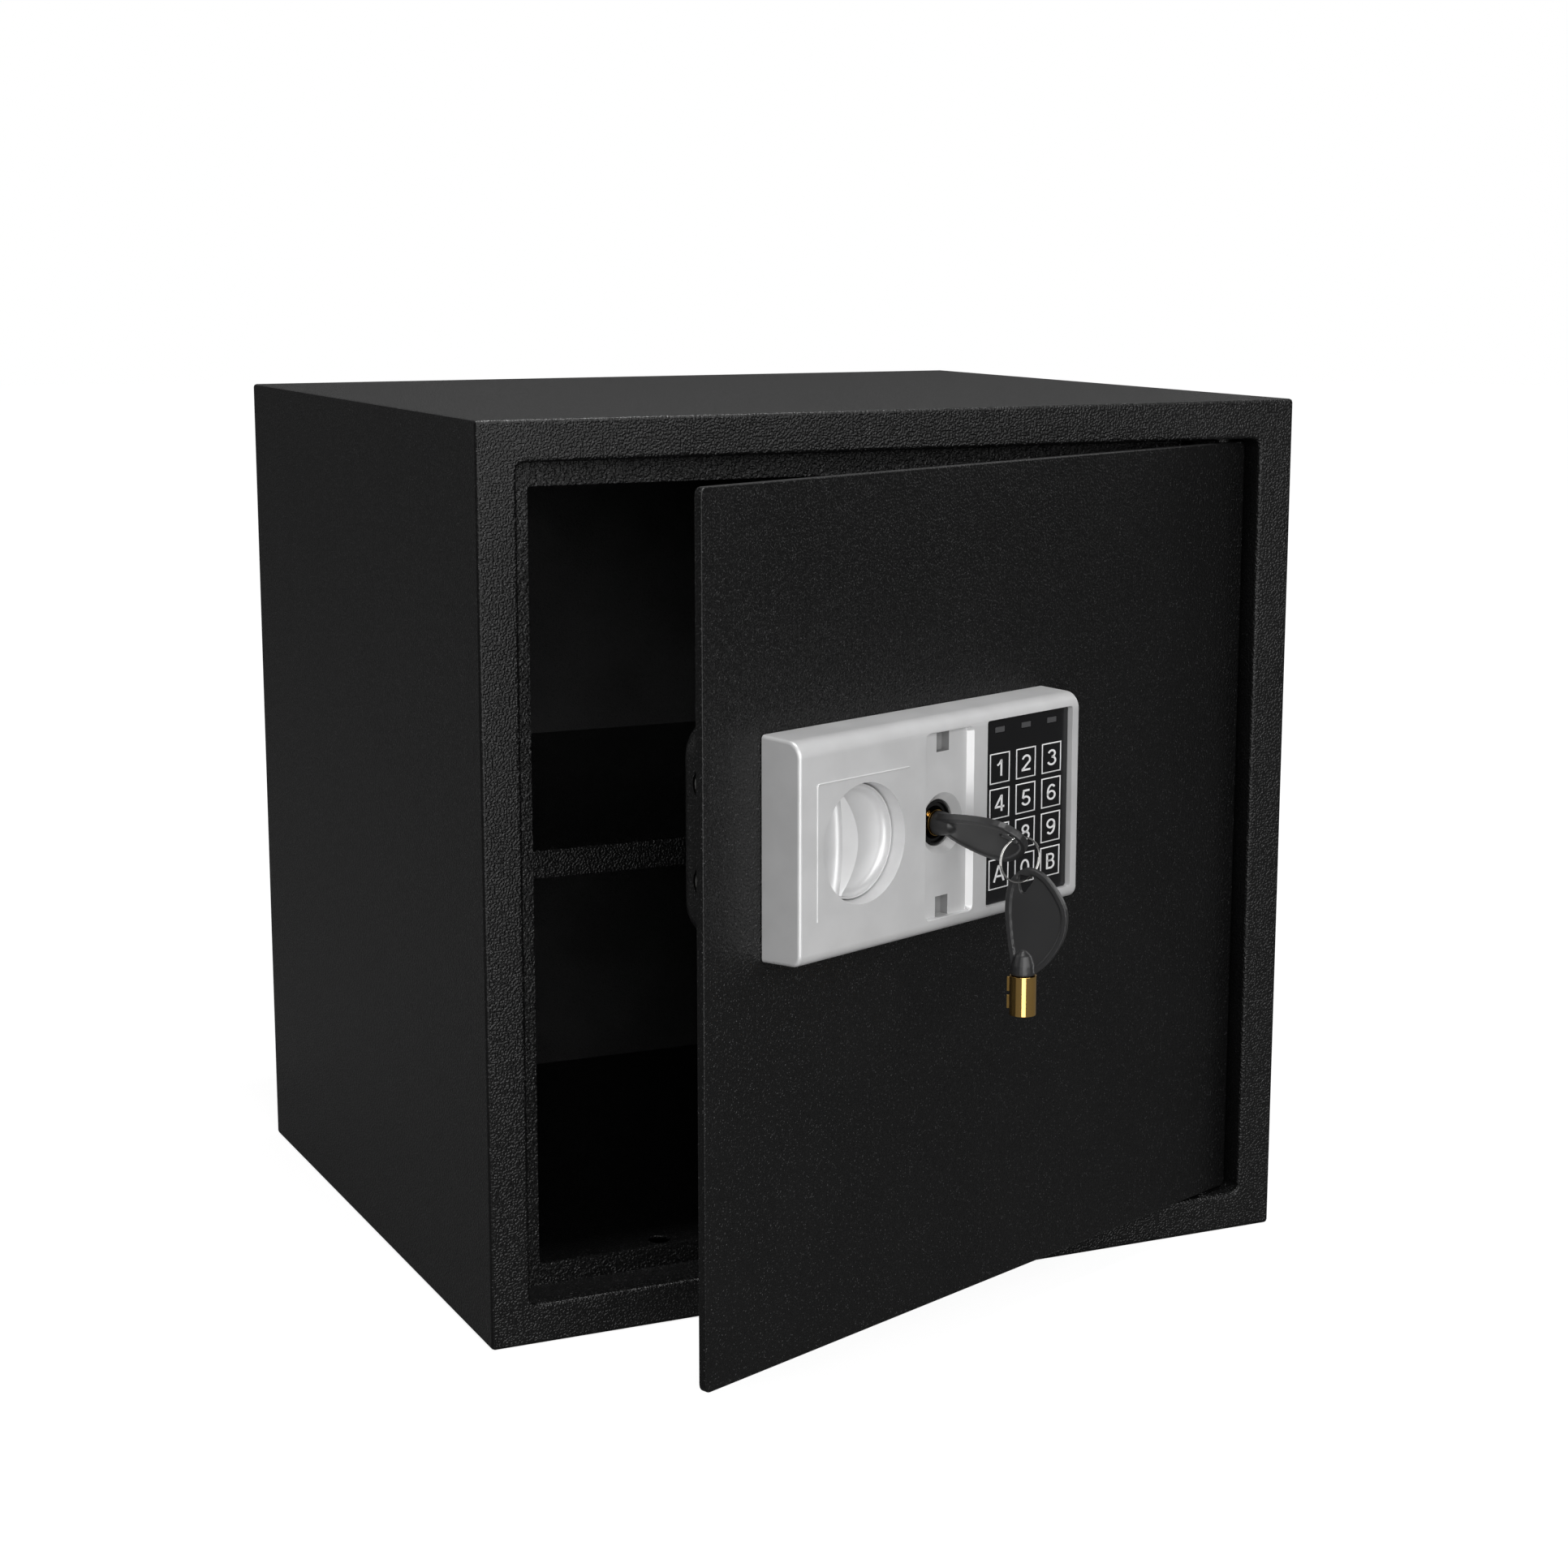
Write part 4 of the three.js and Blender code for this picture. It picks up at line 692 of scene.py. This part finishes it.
def screw_tree(material):
    """Cross-headed cover screws, one at each of two places. Proportions are shares of a head's size."""
    shoulder, crown, slot_wide, slot_deep, slot_middle = 0.93, 0.55, 0.22, 1.1, 0.85
    sides, turned = 32, 0.35
    tree, nodes, given, out = geometry_tree(
        "Cover screws",
        [
            ("First", "Vector", (0, 0, 0)),
            ("Second", "Vector", (0, 0, 0)),
            ("Radius", "Float", 0.0036),
            ("Rise", "Float", 0.002),
        ],
    )

    def share(name, part):
        return nodes.math("MULTIPLY", given[name], part)

    def cone(top, bottom):
        size = {"Vertices": sides, "Radius Top": top, "Radius Bottom": bottom, "Depth": share("Rise", 0.5)}
        return nodes.add("GeometryNodeMeshCone", size).outputs[0]

    def lifted(geometry, part):
        up = nodes.add("ShaderNodeCombineXYZ", {"Z": share("Rise", part)}).outputs[0]
        return nodes.add("GeometryNodeTransform", {"Geometry": geometry, "Translation": up}).outputs[0]

    rim = cone(share("Radius", shoulder), given["Radius"])
    cap = lifted(cone(share("Radius", crown), share("Radius", shoulder)), 0.5)
    solid = nodes.add("GeometryNodeMeshBoolean", operation="UNION", solver="EXACT")
    for geometry in (rim, cap):
        nodes.tree.links.new(geometry, solid.inputs["Mesh 2"])
    head = nodes.add(
        "GeometryNodeMeshBoolean", {"Mesh 1": solid.outputs[0]}, operation="DIFFERENCE", solver="EXACT"
    )
    long, thin, deep = given["Radius"], share("Radius", slot_wide), share("Rise", slot_deep)
    for wide, tall in ((long, thin), (thin, long)):
        size = nodes.add("ShaderNodeCombineXYZ", {"X": wide, "Y": tall, "Z": deep}).outputs[0]
        wing = lifted(nodes.add("GeometryNodeMeshCube", {"Size": size}).outputs[0], slot_middle)
        nodes.tree.links.new(wing, head.inputs["Mesh 2"])
    places = nodes.add("GeometryNodeJoinGeometry")
    for label in ("First", "Second"):
        point = nodes.add("GeometryNodePoints", {"Count": 1, "Position": given[label]})
        nodes.tree.links.new(point.outputs[0], places.inputs[0])
    heads = nodes.add(
        "GeometryNodeInstanceOnPoints",
        {"Points": places.outputs[0], "Instance": head.outputs[0], "Rotation": (-math.pi / 2, turned, 0)},
    )
    end_tree(nodes, heads.outputs[0], material, out)
    return tree


# Cabinet and door


class SAFE_OT_cabinet(bpy.types.Operator):
    """Cabinet shell, back, floor, shelf and its angles, with rolled edges and a wrinkle coat"""

    bl_idname = "safe.cabinet"
    bl_label = "Cabinet"

    def execute(self, context):
        edge = context.scene.safe_coat.edge
        sheets = {
            "body_shell": ("cabinet_shell", edge),
            "back_panel": ("back_sheet", edge * 0.7),
            "floor_pan": ("floor_sheet", edge * 0.8),
            "shelf": ("shelf_tray", edge * 0.7),
            "shelf_bracket_left": ("shelf_angle_left", edge * 0.5),
            "shelf_bracket_right": ("shelf_angle_right", edge * 0.5),
        }
        for node, (name, radius) in sheets.items():
            outer = context.scene.safe_coat.corner if node == "body_shell" else 0.0
            paints = [looks["inside" if node == "back_panel" else "coat"]]
            if outer:
                paints.append(looks["edge"])
            piece = rounded_copy(node, name, radius, segments=3, outer=outer, paints=paints)
            dress(piece, None, "cabinet", [node])
        for side in ("top", "bottom"):
            coat_node("hinge_bush_" + side, looks["coat"])
        return {"FINISHED"}


class SAFE_OT_door(bpy.types.Operator):
    """Door leaf with its hinge lugs and pins"""

    bl_idname = "safe.door"
    bl_label = "Door"

    def execute(self, context):
        edge = context.scene.safe_coat.edge
        paints, outer = (looks["leaf"], looks["edge"]), edge * 1.2
        leaf = rounded_copy("door_plate", "door_leaf", edge * 0.9, segments=3, outer=outer, paints=paints)
        dress(leaf, None, "door", ["door_plate"])
        for side in ("top", "bottom"):
            lug = rounded_copy("hinge_pin_" + side, "hinge_lug_" + side, edge * 0.5)
            dress(lug, looks["coat"], "door", ["hinge_pin_" + side])
        return {"FINISHED"}


def dish_line(panel, front, slack):
    """Raised line round the knob's dish, a round bead squeezed to its height, in the place of the CAD one."""
    bead = [SHUT @ vertex.co for vertex in frame["nodes"]["lock_panel"].data.vertices]
    bead = [point for point in bead if point.y < front - slack]
    near, far = min(point.x for point in bead), max(point.x for point in bead)
    foot, head = min(point.z for point in bead), max(point.z for point in bead)
    half, bend = panel.bead / 2, 0.001
    corner = arc(near + half + bend, head - half - bend, bend, bend, 180, 90, 6)
    path = [(near + half, foot), *corner, (far, head - half)]
    line = bpy.data.curves.new("bead", "CURVE")
    line.dimensions = "3D"
    line.bevel_depth = half
    line.bevel_resolution = 4
    line.use_fill_caps = True
    spline = line.splines.new("POLY")
    spline.points.add(len(path) - 1)
    for point, (x, z) in zip(spline.points, path):
        point.co = (x, front, z, 1)
    raised = plain_mesh(object_of("bead", line), "panel_line")
    squeeze = Matrix.Diagonal((1, panel.bead_rise / half, 1, 1))
    level = Matrix.Translation((0, front, 0))
    raised.data.transform(DOOR @ level @ squeeze @ level.inverted())
    return raised


def shade_pockets(housing, panel, front, back):
    """Paints the clip pockets above and below the lock, which no light reaches, in a darker silver."""
    housing.data.materials.append(looks["shade"])
    low, high = shut_box("lock_cylinder")
    middle = (low + high) / 2
    for face in housing.data.polygons:
        point = SHUT @ face.center
        away = abs(point.z - middle.z)
        beside = abs(point.x - middle.x) < panel.pocket and panel.pocket_near < away < panel.pocket_far
        face.material_index = int(beside and front + panel.pocket_floor < point.y < back)


class SAFE_OT_lock_panel(bpy.types.Operator):
    """Moulded lock housing and the knob in its dish"""

    bl_idname = "safe.lock_panel"
    bl_label = "Lock panel"

    def execute(self, context):
        panel = context.scene.safe_panel
        low, high = shut_box("lock_panel")
        front, back = low.y + panel.bead_rise, high.y - panel.skirt
        # Points that stand out from the front by more than this belong to the raised line
        slack = 0.0001
        dress(dish_line(panel, front, slack), looks["silver"], "door")
        housing = rounded_copy(
            "lock_panel",
            "lock_housing",
            panel.edge,
            angle=40,
            segments=3,
            sharp=28,
            outer=panel.corner,
            keep=lambda point: (SHUT @ point).y < back,
            drop=lambda point: (SHUT @ point).y < front - slack,
        )
        dress(housing, looks["silver"], "door", ["lock_panel"])
        shade_pockets(housing, panel, front, back)
        grip = rounded_copy("knob", "bolt_knob", panel.edge * 0.5, angle=38, sharp=28)
        dress(grip, looks["knob"], "knob", ["knob"])
        for node in ("knob_spindle", "knob_crank"):
            coat_node(node, looks["zinc"])
        return {"FINISHED"}


# Keypad


# Middle lines of the pen strokes of each legend, for a height of one, from the foot of the legend up
SIX = [arc(0, 0.31, 0.25, 0.25, 0, 360, 24), arc(0.03, 0.46, 0.285, 0.48, 200, 48)]
STROKES = {
    "1": [[(0.07, 0), (0.07, 1)], [(-0.2, 0.68), (-0.07, 0.76), (0.06, 0.95)]],
    "2": [[*arc(0, 0.68, 0.25, 0.26, 170, -25), (-0.27, 0.08)], [(-0.32, 0.06), (0.28, 0.06)]],
    "3": [arc(-0.01, 0.735, 0.22, 0.205, 165, -90), arc(-0.01, 0.295, 0.26, 0.235, 90, -165)],
    "4": [[(0.12, 0), (0.12, 1)], [(0.1, 0.96), (-0.29, 0.29)], [(-0.34, 0.28), (0.3, 0.28)]],
    "5": [[(0.25, 0.94), (-0.2, 0.94)], [(-0.14, 0.98), (-0.2, 0.48)], arc(0, 0.31, 0.26, 0.25, 140, -160)],
    "6": SIX,
    "7": [[(-0.27, 0.94), (0.3, 0.94)], [(0.25, 0.93), (0.1, 0.66), (-0.02, 0.34), (-0.07, 0)]],
    "8": [arc(0, 0.735, 0.2, 0.205, 0, 360, 24), arc(0, 0.295, 0.25, 0.235, 0, 360, 24)],
    "9": [[(-x, 1 - z) for x, z in path] for path in SIX],
    "0": [arc(0, 0.5, 0.25, 0.44, 0, 360, 28)],
    "A": [
        [(-0.33, 0), (-0.03, 1)],
        [(0.33, 0), (0.03, 1)],
        [(-0.08, 0.96), (0.08, 0.96)],
        [(-0.2, 0.33), (0.2, 0.33)],
    ],
    "B": [
        [(-0.22, 0), (-0.22, 1)],
        [(-0.22, 0.94), *arc(0.02, 0.735, 0.19, 0.205, 90, -90), (-0.22, 0.53)],
        [(-0.22, 0.53), *arc(0.04, 0.295, 0.21, 0.235, 90, -90), (-0.22, 0.06)],
    ],
}


def legend_mesh(text, pad):
    """Raised ink of one legend, drawn with a flat pen in the X and Z plane and facing -Y."""
    tall, wide = pad.legend, pad.legend * pad.stretch
    ink = bmesh.new()
    for path in STROKES[text]:
        points = [Vector(point) for point in path]
        closed = (points[0] - points[-1]).length < 1e-6
        sides = []
        for k, point in enumerate(points):
            before = points[k - 1] if k else (points[-2] if closed else point)
            after = points[k + 1] if k + 1 < len(points) else (points[1] if closed else point)
            along = (after - before).normalized()
            across = Vector((-along.y, along.x)) * pad.pen / tall / 2
            ends = [point + across, point - across]
            spots = [(end.x * wide, -pad.relief / 2, (end.y - 0.5) * tall) for end in ends]
            sides.append([ink.verts.new(spot) for spot in spots])
        for (a, b), (c, d) in zip(sides, sides[1:]):
            ink.faces.new((a, b, d, c))
    raised = bmesh.ops.extrude_face_region(ink, geom=list(ink.faces))["geom"]
    raised = [item for item in raised if isinstance(item, bmesh.types.BMVert)]
    bmesh.ops.translate(ink, vec=(0, pad.relief, 0), verts=raised)
    bmesh.ops.recalc_face_normals(ink, faces=ink.faces)
    mesh = bpy.data.meshes.new("legend_mesh")
    ink.to_mesh(mesh)
    ink.free()
    return object_of("legend_mesh", mesh)


def joined(name, pieces):
    """Several plain meshes as one object."""
    first = pieces[0]
    with bpy.context.temp_override(active_object=first, selected_editable_objects=pieces, object=first):
        bpy.ops.object.join()
    first.name = name
    first.data.name = name
    return first


class SAFE_OT_keypad(bpy.types.Operator):
    """Keypad film, lamp windows and the printed frame and legend of each button"""

    bl_idname = "safe.keypad"
    bl_label = "Keypad"

    def execute(self, context):
        pad = context.scene.safe_keypad
        coat_node("keypad_face", looks["film"])
        coat_node("status_window", looks["lamp"])
        coat_node("keypad_board", looks["board"])
        frames = frame_tree(looks["ink"])
        # Ink and film don't touch, so that neither face shows through the other
        gap = 0.00001
        for name in "1234567890ab":
            node = "button_" + name
            coat_node(node, looks["film"])
            low, high = shut_box(node)
            middle = (low + high) / 2
            face = low.y - pad.relief / 2 - gap
            values = {
                "Width": (high.x - low.x) / pad.stretch - pad.line,
                "Height": high.z - low.z - pad.line,
                "Line": pad.line,
                "Relief": pad.relief,
            }
            spot = Matrix.Translation((middle.x, face, middle.z))
            upright = Matrix.Rotation(math.radians(90), 4, "X") @ Matrix.Diagonal((pad.stretch, 1, 1, 1))
            edge = grow(frames, "print_frame_" + name, values, spot @ upright)
            legend = legend_mesh(name.upper(), pad)
            legend.data.transform(Matrix.Translation((pad.aside, 0, 0)) @ spot)
            legend.data.materials.append(looks["ink"])
            printed = joined("button_print_" + name, [edge, legend])
            printed.data.transform(DOOR)
            dress(printed, looks["ink"], node)
        return {"FINISHED"}


# Keys


def blended_head(node, name, voxel):
    """Key head whose web, rim and collar are blended into one moulding."""
    copy = node_copy(node)
    bmesh.ops.triangulate(copy, faces=copy.faces)
    mesh = bpy.data.meshes.new(name + "_blank")
    copy.to_mesh(mesh)
    copy.free()
    mesh.materials.clear()
    blank = object_of(name + "_blank", mesh)
    remesh = blank.modifiers.new("Blend", "REMESH")
    remesh.mode = "VOXEL"
    remesh.voxel_size = voxel
    smooth = blank.modifiers.new("Soften", "SMOOTH")
    smooth.factor = 0.5
    smooth.iterations = 5
    made = plain_mesh(blank, name)
    made.data.shade_smooth()
    return made


class SAFE_OT_keys(bpy.types.Operator):
    """Two tubular keys with moulded heads on a split ring"""

    bl_idname = "safe.keys"
    bl_label = "Keys"

    def execute(self, context):
        keys = context.scene.safe_keys
        for key, body in (("key_one", "lock_barrel"), ("key_two", "spare_key")):
            head = blended_head(key + "_head", key + "_bow", keys.voxel)
            dress(head, looks["head"], body, [key + "_head"])
            shaft = rounded_copy(key + "_tube", key + "_shaft", keys.edge)
            dress(shaft, looks["brass"], body, [key + "_tube"])
        low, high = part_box("key_ring")
        centre = (low + high) / 2
        radius = (high.z - low.z) / 2 - keys.wire
        axis, up = Vector(joints["ring_swing"]["axis"]), Vector((0, 0, 1))
        side = axis.cross(up).normalized()
        pitch = 2 * keys.wire * keys.pitch
        lay = Matrix((axis, up, side)).transposed().to_4x4()
        place = Matrix.Translation(centre) @ lay @ Matrix.Translation((0, 0, -pitch * keys.turns / 2))
        values = {"Radius": radius, "Wire": keys.wire, "Pitch": pitch, "Turns": keys.turns}
        ring = grow(ring_tree(looks["nickel"]), "split_ring", values, place)
        finish_mesh(ring.data, 60)
        dress(ring, looks["nickel"], "key_ring", ["key_ring"])
        for node in ("lock_plug", "lock_cylinder"):
            coat_node(node, looks["socket"])
        return {"FINISHED"}


# Behind the door


class SAFE_OT_mechanism(bpy.types.Operator):
    """Bolts, guides, solenoid and lock parts behind the door"""

    bl_idname = "safe.mechanism"
    bl_label = "Mechanism"

    def execute(self, context):
        edge = context.scene.safe_fittings.edge
        for place in ("upper", "lower"):
            bolt = rounded_copy("bolt_" + place, "throw_bolt_" + place, edge * 1.5)
            dress(bolt, looks["zinc"], "bolts", ["bolt_" + place])
        for node in (
            "bolt_plate",
            "bolt_guide",
            "guide_strip",
            "solenoid_body",
            "solenoid_plunger",
            "plunger_spring",
            "lock_nut",
            "lock_cam",
        ):
            coat_node(node, looks["zinc"])
        return {"FINISHED"}


class SAFE_OT_cover(bpy.types.Operator):
    """Inner cover with its screws, reset button, battery lid, cells and board"""

    bl_idname = "safe.cover"
    bl_label = "Inner cover"

    def execute(self, context):
        fit = context.scene.safe_fittings
        tub = rounded_copy("mech_cover", "mechanism_cover", fit.edge * 1.25)
        dress(tub, looks["coat"], "door", ["mech_cover"])
        lid = rounded_copy("battery_lid", "cell_lid", fit.edge)
        dress(lid, looks["dark"], "battery_lid", ["battery_lid"])
        button = rounded_copy("reset_button", "reset_stud", fit.edge)
        dress(button, looks["red"], "reset_button", ["reset_button"])
        places = []
        for node in ("cover_screw_1", "cover_screw_2"):
            coat_node(node, looks["zinc"])
            low, high = shut_box(node)
            sunk = high.y - fit.screw_rise / 2
            places.append(Vector(((low.x + high.x) / 2, sunk, (low.z + high.z) / 2)))
        values = {"First": places[0], "Second": places[1], "Radius": fit.screw, "Rise": fit.screw_rise}
        heads = grow(screw_tree(looks["zinc"]), "cover_screw_heads", values, DOOR)
        finish_mesh(heads.data, 30)
        dress(heads, looks["zinc"], "door")
        for cell in range(1, 5):
            coat_node(f"battery_{cell}", looks["sleeve"])
        coat_node("battery_tray", looks["dark"])
        coat_node("control_board", looks["board"])
        return {"FINISHED"}


# Studio


def background_share(nodes, mirrored):
    """Share of the white background that a ray sees: all for the camera and glass, less for a mirror."""
    rays = nodes.add("ShaderNodeLightPath").outputs
    seen = nodes.math("MAXIMUM", rays["Is Camera Ray"], rays["Is Transmission Ray"])
    return nodes.math("MAXIMUM", seen, nodes.math("MULTIPLY", rays["Is Glossy Ray"], mirrored))


def lamp_at(name, azimuth, elevation, size, power, distance=2.6, aim=(0, -0.05, 0.2)):
    """Soft lamp round the safe: azimuth 0 stands before the front, positive towards +X."""
    data = bpy.data.lights.new(name, "AREA")
    data.shape = "RECTANGLE"
    data.size, data.size_y = size
    data.energy = power
    turn, lift = math.radians(azimuth), math.radians(elevation)
    away = Vector((math.sin(turn) * math.cos(lift), -math.cos(turn) * math.cos(lift), math.sin(lift)))
    lamp = object_of(name, data)
    lamp.location = Vector(aim) + away * distance
    lamp.rotation_euler = away.to_track_quat("Z", "Y").to_euler()
    return lamp


def floor_material(stage):
    """Floor that the camera sees as white with a soft shadow, and that throws little light on the safe."""
    material = bpy.data.materials.new("White floor")
    material.use_nodes = True
    nodes = Nodes(material.node_tree)
    material.node_tree.nodes.clear()
    place = nodes.add("ShaderNodeTexCoord").outputs["Object"]
    away = nodes.add("ShaderNodeVectorMath", {0: place}, operation="LENGTH").outputs["Value"]
    # The glow is a little weaker near the safe, where the lamps light the floor and its shadow lies
    strength = nodes.span(away, 0.5, 1.2, 0.9, 1.0)
    glow = nodes.add("ShaderNodeEmission", {"Color": (1, 1, 1, 1), "Strength": strength})
    soft = nodes.add("ShaderNodeBsdfDiffuse", {"Color": (0.3, 0.3, 0.3, 1)})
    pale = nodes.add("ShaderNodeAddShader", {0: glow.outputs[0], 1: soft.outputs[0]})
    plain = nodes.add("ShaderNodeBsdfDiffuse", {"Color": (stage.floor, stage.floor, stage.floor, 1)})
    seen = background_share(nodes, stage.mirrored)
    mixed = nodes.add("ShaderNodeMixShader", {"Fac": seen, 1: plain.outputs[0], 2: pale.outputs[0]})
    nodes.add("ShaderNodeOutputMaterial", {"Surface": mixed.outputs[0]})
    return material


class SAFE_OT_stage(bpy.types.Operator):
    """Camera at the photographed view, white floor and background, and soft studio lamps"""

    bl_idname = "safe.stage"
    bl_label = "Stage"

    def execute(self, context):
        scene = context.scene
        stage = scene.safe_stage
        camera = bpy.data.cameras.new("Camera")
        camera.lens = stage.lens
        camera.sensor_width = 36
        camera.clip_start = 0.01
        view = object_of("Camera", camera)
        view.location = stage.camera
        view.rotation_euler = (math.radians(90 - stage.elevation), 0, math.radians(stage.azimuth))
        scene.camera = view

        world = bpy.data.worlds.new("Studio")
        world.use_nodes = True
        scene.world = world
        nodes = Nodes(world.node_tree)
        world.node_tree.nodes.clear()
        seen = background_share(nodes, stage.mirrored)
        lit = nodes.add("ShaderNodeBackground", {"Color": (1, 1, 1, 1), "Strength": stage.ambient})
        white = nodes.add("ShaderNodeBackground", {"Color": (1, 1, 1, 1), "Strength": 1.0})
        mixed = nodes.add("ShaderNodeMixShader", {"Fac": seen, 1: lit.outputs[0], 2: white.outputs[0]})
        nodes.add("ShaderNodeOutputWorld", {"Surface": mixed.outputs[0]})

        disc = bmesh.new()
        bmesh.ops.create_circle(disc, cap_ends=True, segments=96, radius=stage.radius)
        mesh = bpy.data.meshes.new("studio_floor")
        disc.to_mesh(mesh)
        disc.free()
        mesh.materials.append(floor_material(stage))
        floor = object_of("studio_floor", mesh)
        floor.location.z = -stage.below

        lamp_at("Front lamp", 2, 22, (2.6, 1.6), stage.front)
        lamp_at("Left lamp", -40, 22, (1.2, 1.6), stage.left)
        lamp_at("Back lamp", 155, 35, (2.2, 1.6), stage.back)
        # The photograph shows the left side dark, so its rear lamp has a third of the other's power
        lamp_at("Right rear lamp", 112, 18, (1.6, 1.6), stage.rear)
        lamp_at("Left rear lamp", -122, 18, (1.6, 1.6), stage.rear / 3)
        lamp_at("Low lamp", -16, -4, (0.3, 0.3), stage.card, 0.75).visible_camera = False
        lamp_at("Top lamp", 0, 80, (1.8, 0.2), stage.top, 2.4)
        scene.view_settings.view_transform = "Standard"
        return {"FINISHED"}


class SAFE_PT_sidebar(bpy.types.Panel):
    """Lists the safe's pieces in the order they are made"""

    bl_idname = "SAFE_PT_sidebar"
    bl_label = "Electronic safe"
    bl_space_type = "VIEW_3D"
    bl_region_type = "UI"
    bl_category = "Safe"

    def draw(self, context):
        for operator in operators:
            self.layout.operator(operator.bl_idname)


settings = {
    "safe_coat": CoatSettings,
    "safe_panel": PanelSettings,
    "safe_keypad": KeypadSettings,
    "safe_keys": KeySettings,
    "safe_fittings": FittingSettings,
    "safe_stage": StageSettings,
}
operators = (
    SAFE_OT_stage,
    SAFE_OT_cabinet,
    SAFE_OT_door,
    SAFE_OT_lock_panel,
    SAFE_OT_keypad,
    SAFE_OT_keys,
    SAFE_OT_mechanism,
    SAFE_OT_cover,
)


def register():
    for name, group in settings.items():
        bpy.utils.register_class(group)
        setattr(bpy.types.Scene, name, bpy.props.PointerProperty(type=group))
    for item in (*operators, SAFE_PT_sidebar):
        bpy.utils.register_class(item)


def unregister():
    for item in (SAFE_PT_sidebar, *reversed(operators)):
        bpy.utils.unregister_class(item)
    for name, group in settings.items():
        delattr(bpy.types.Scene, name)
        bpy.utils.unregister_class(group)


def main():
    register()
    make_looks(bpy.context.scene)
    bpy.ops.safe.stage()
    bpy.ops.safe.cabinet()
    bpy.ops.safe.door()
    bpy.ops.safe.lock_panel()
    bpy.ops.safe.keypad()
    bpy.ops.safe.keys()
    bpy.ops.safe.mechanism()
    bpy.ops.safe.cover()


if __name__ == "__main__":
    main()
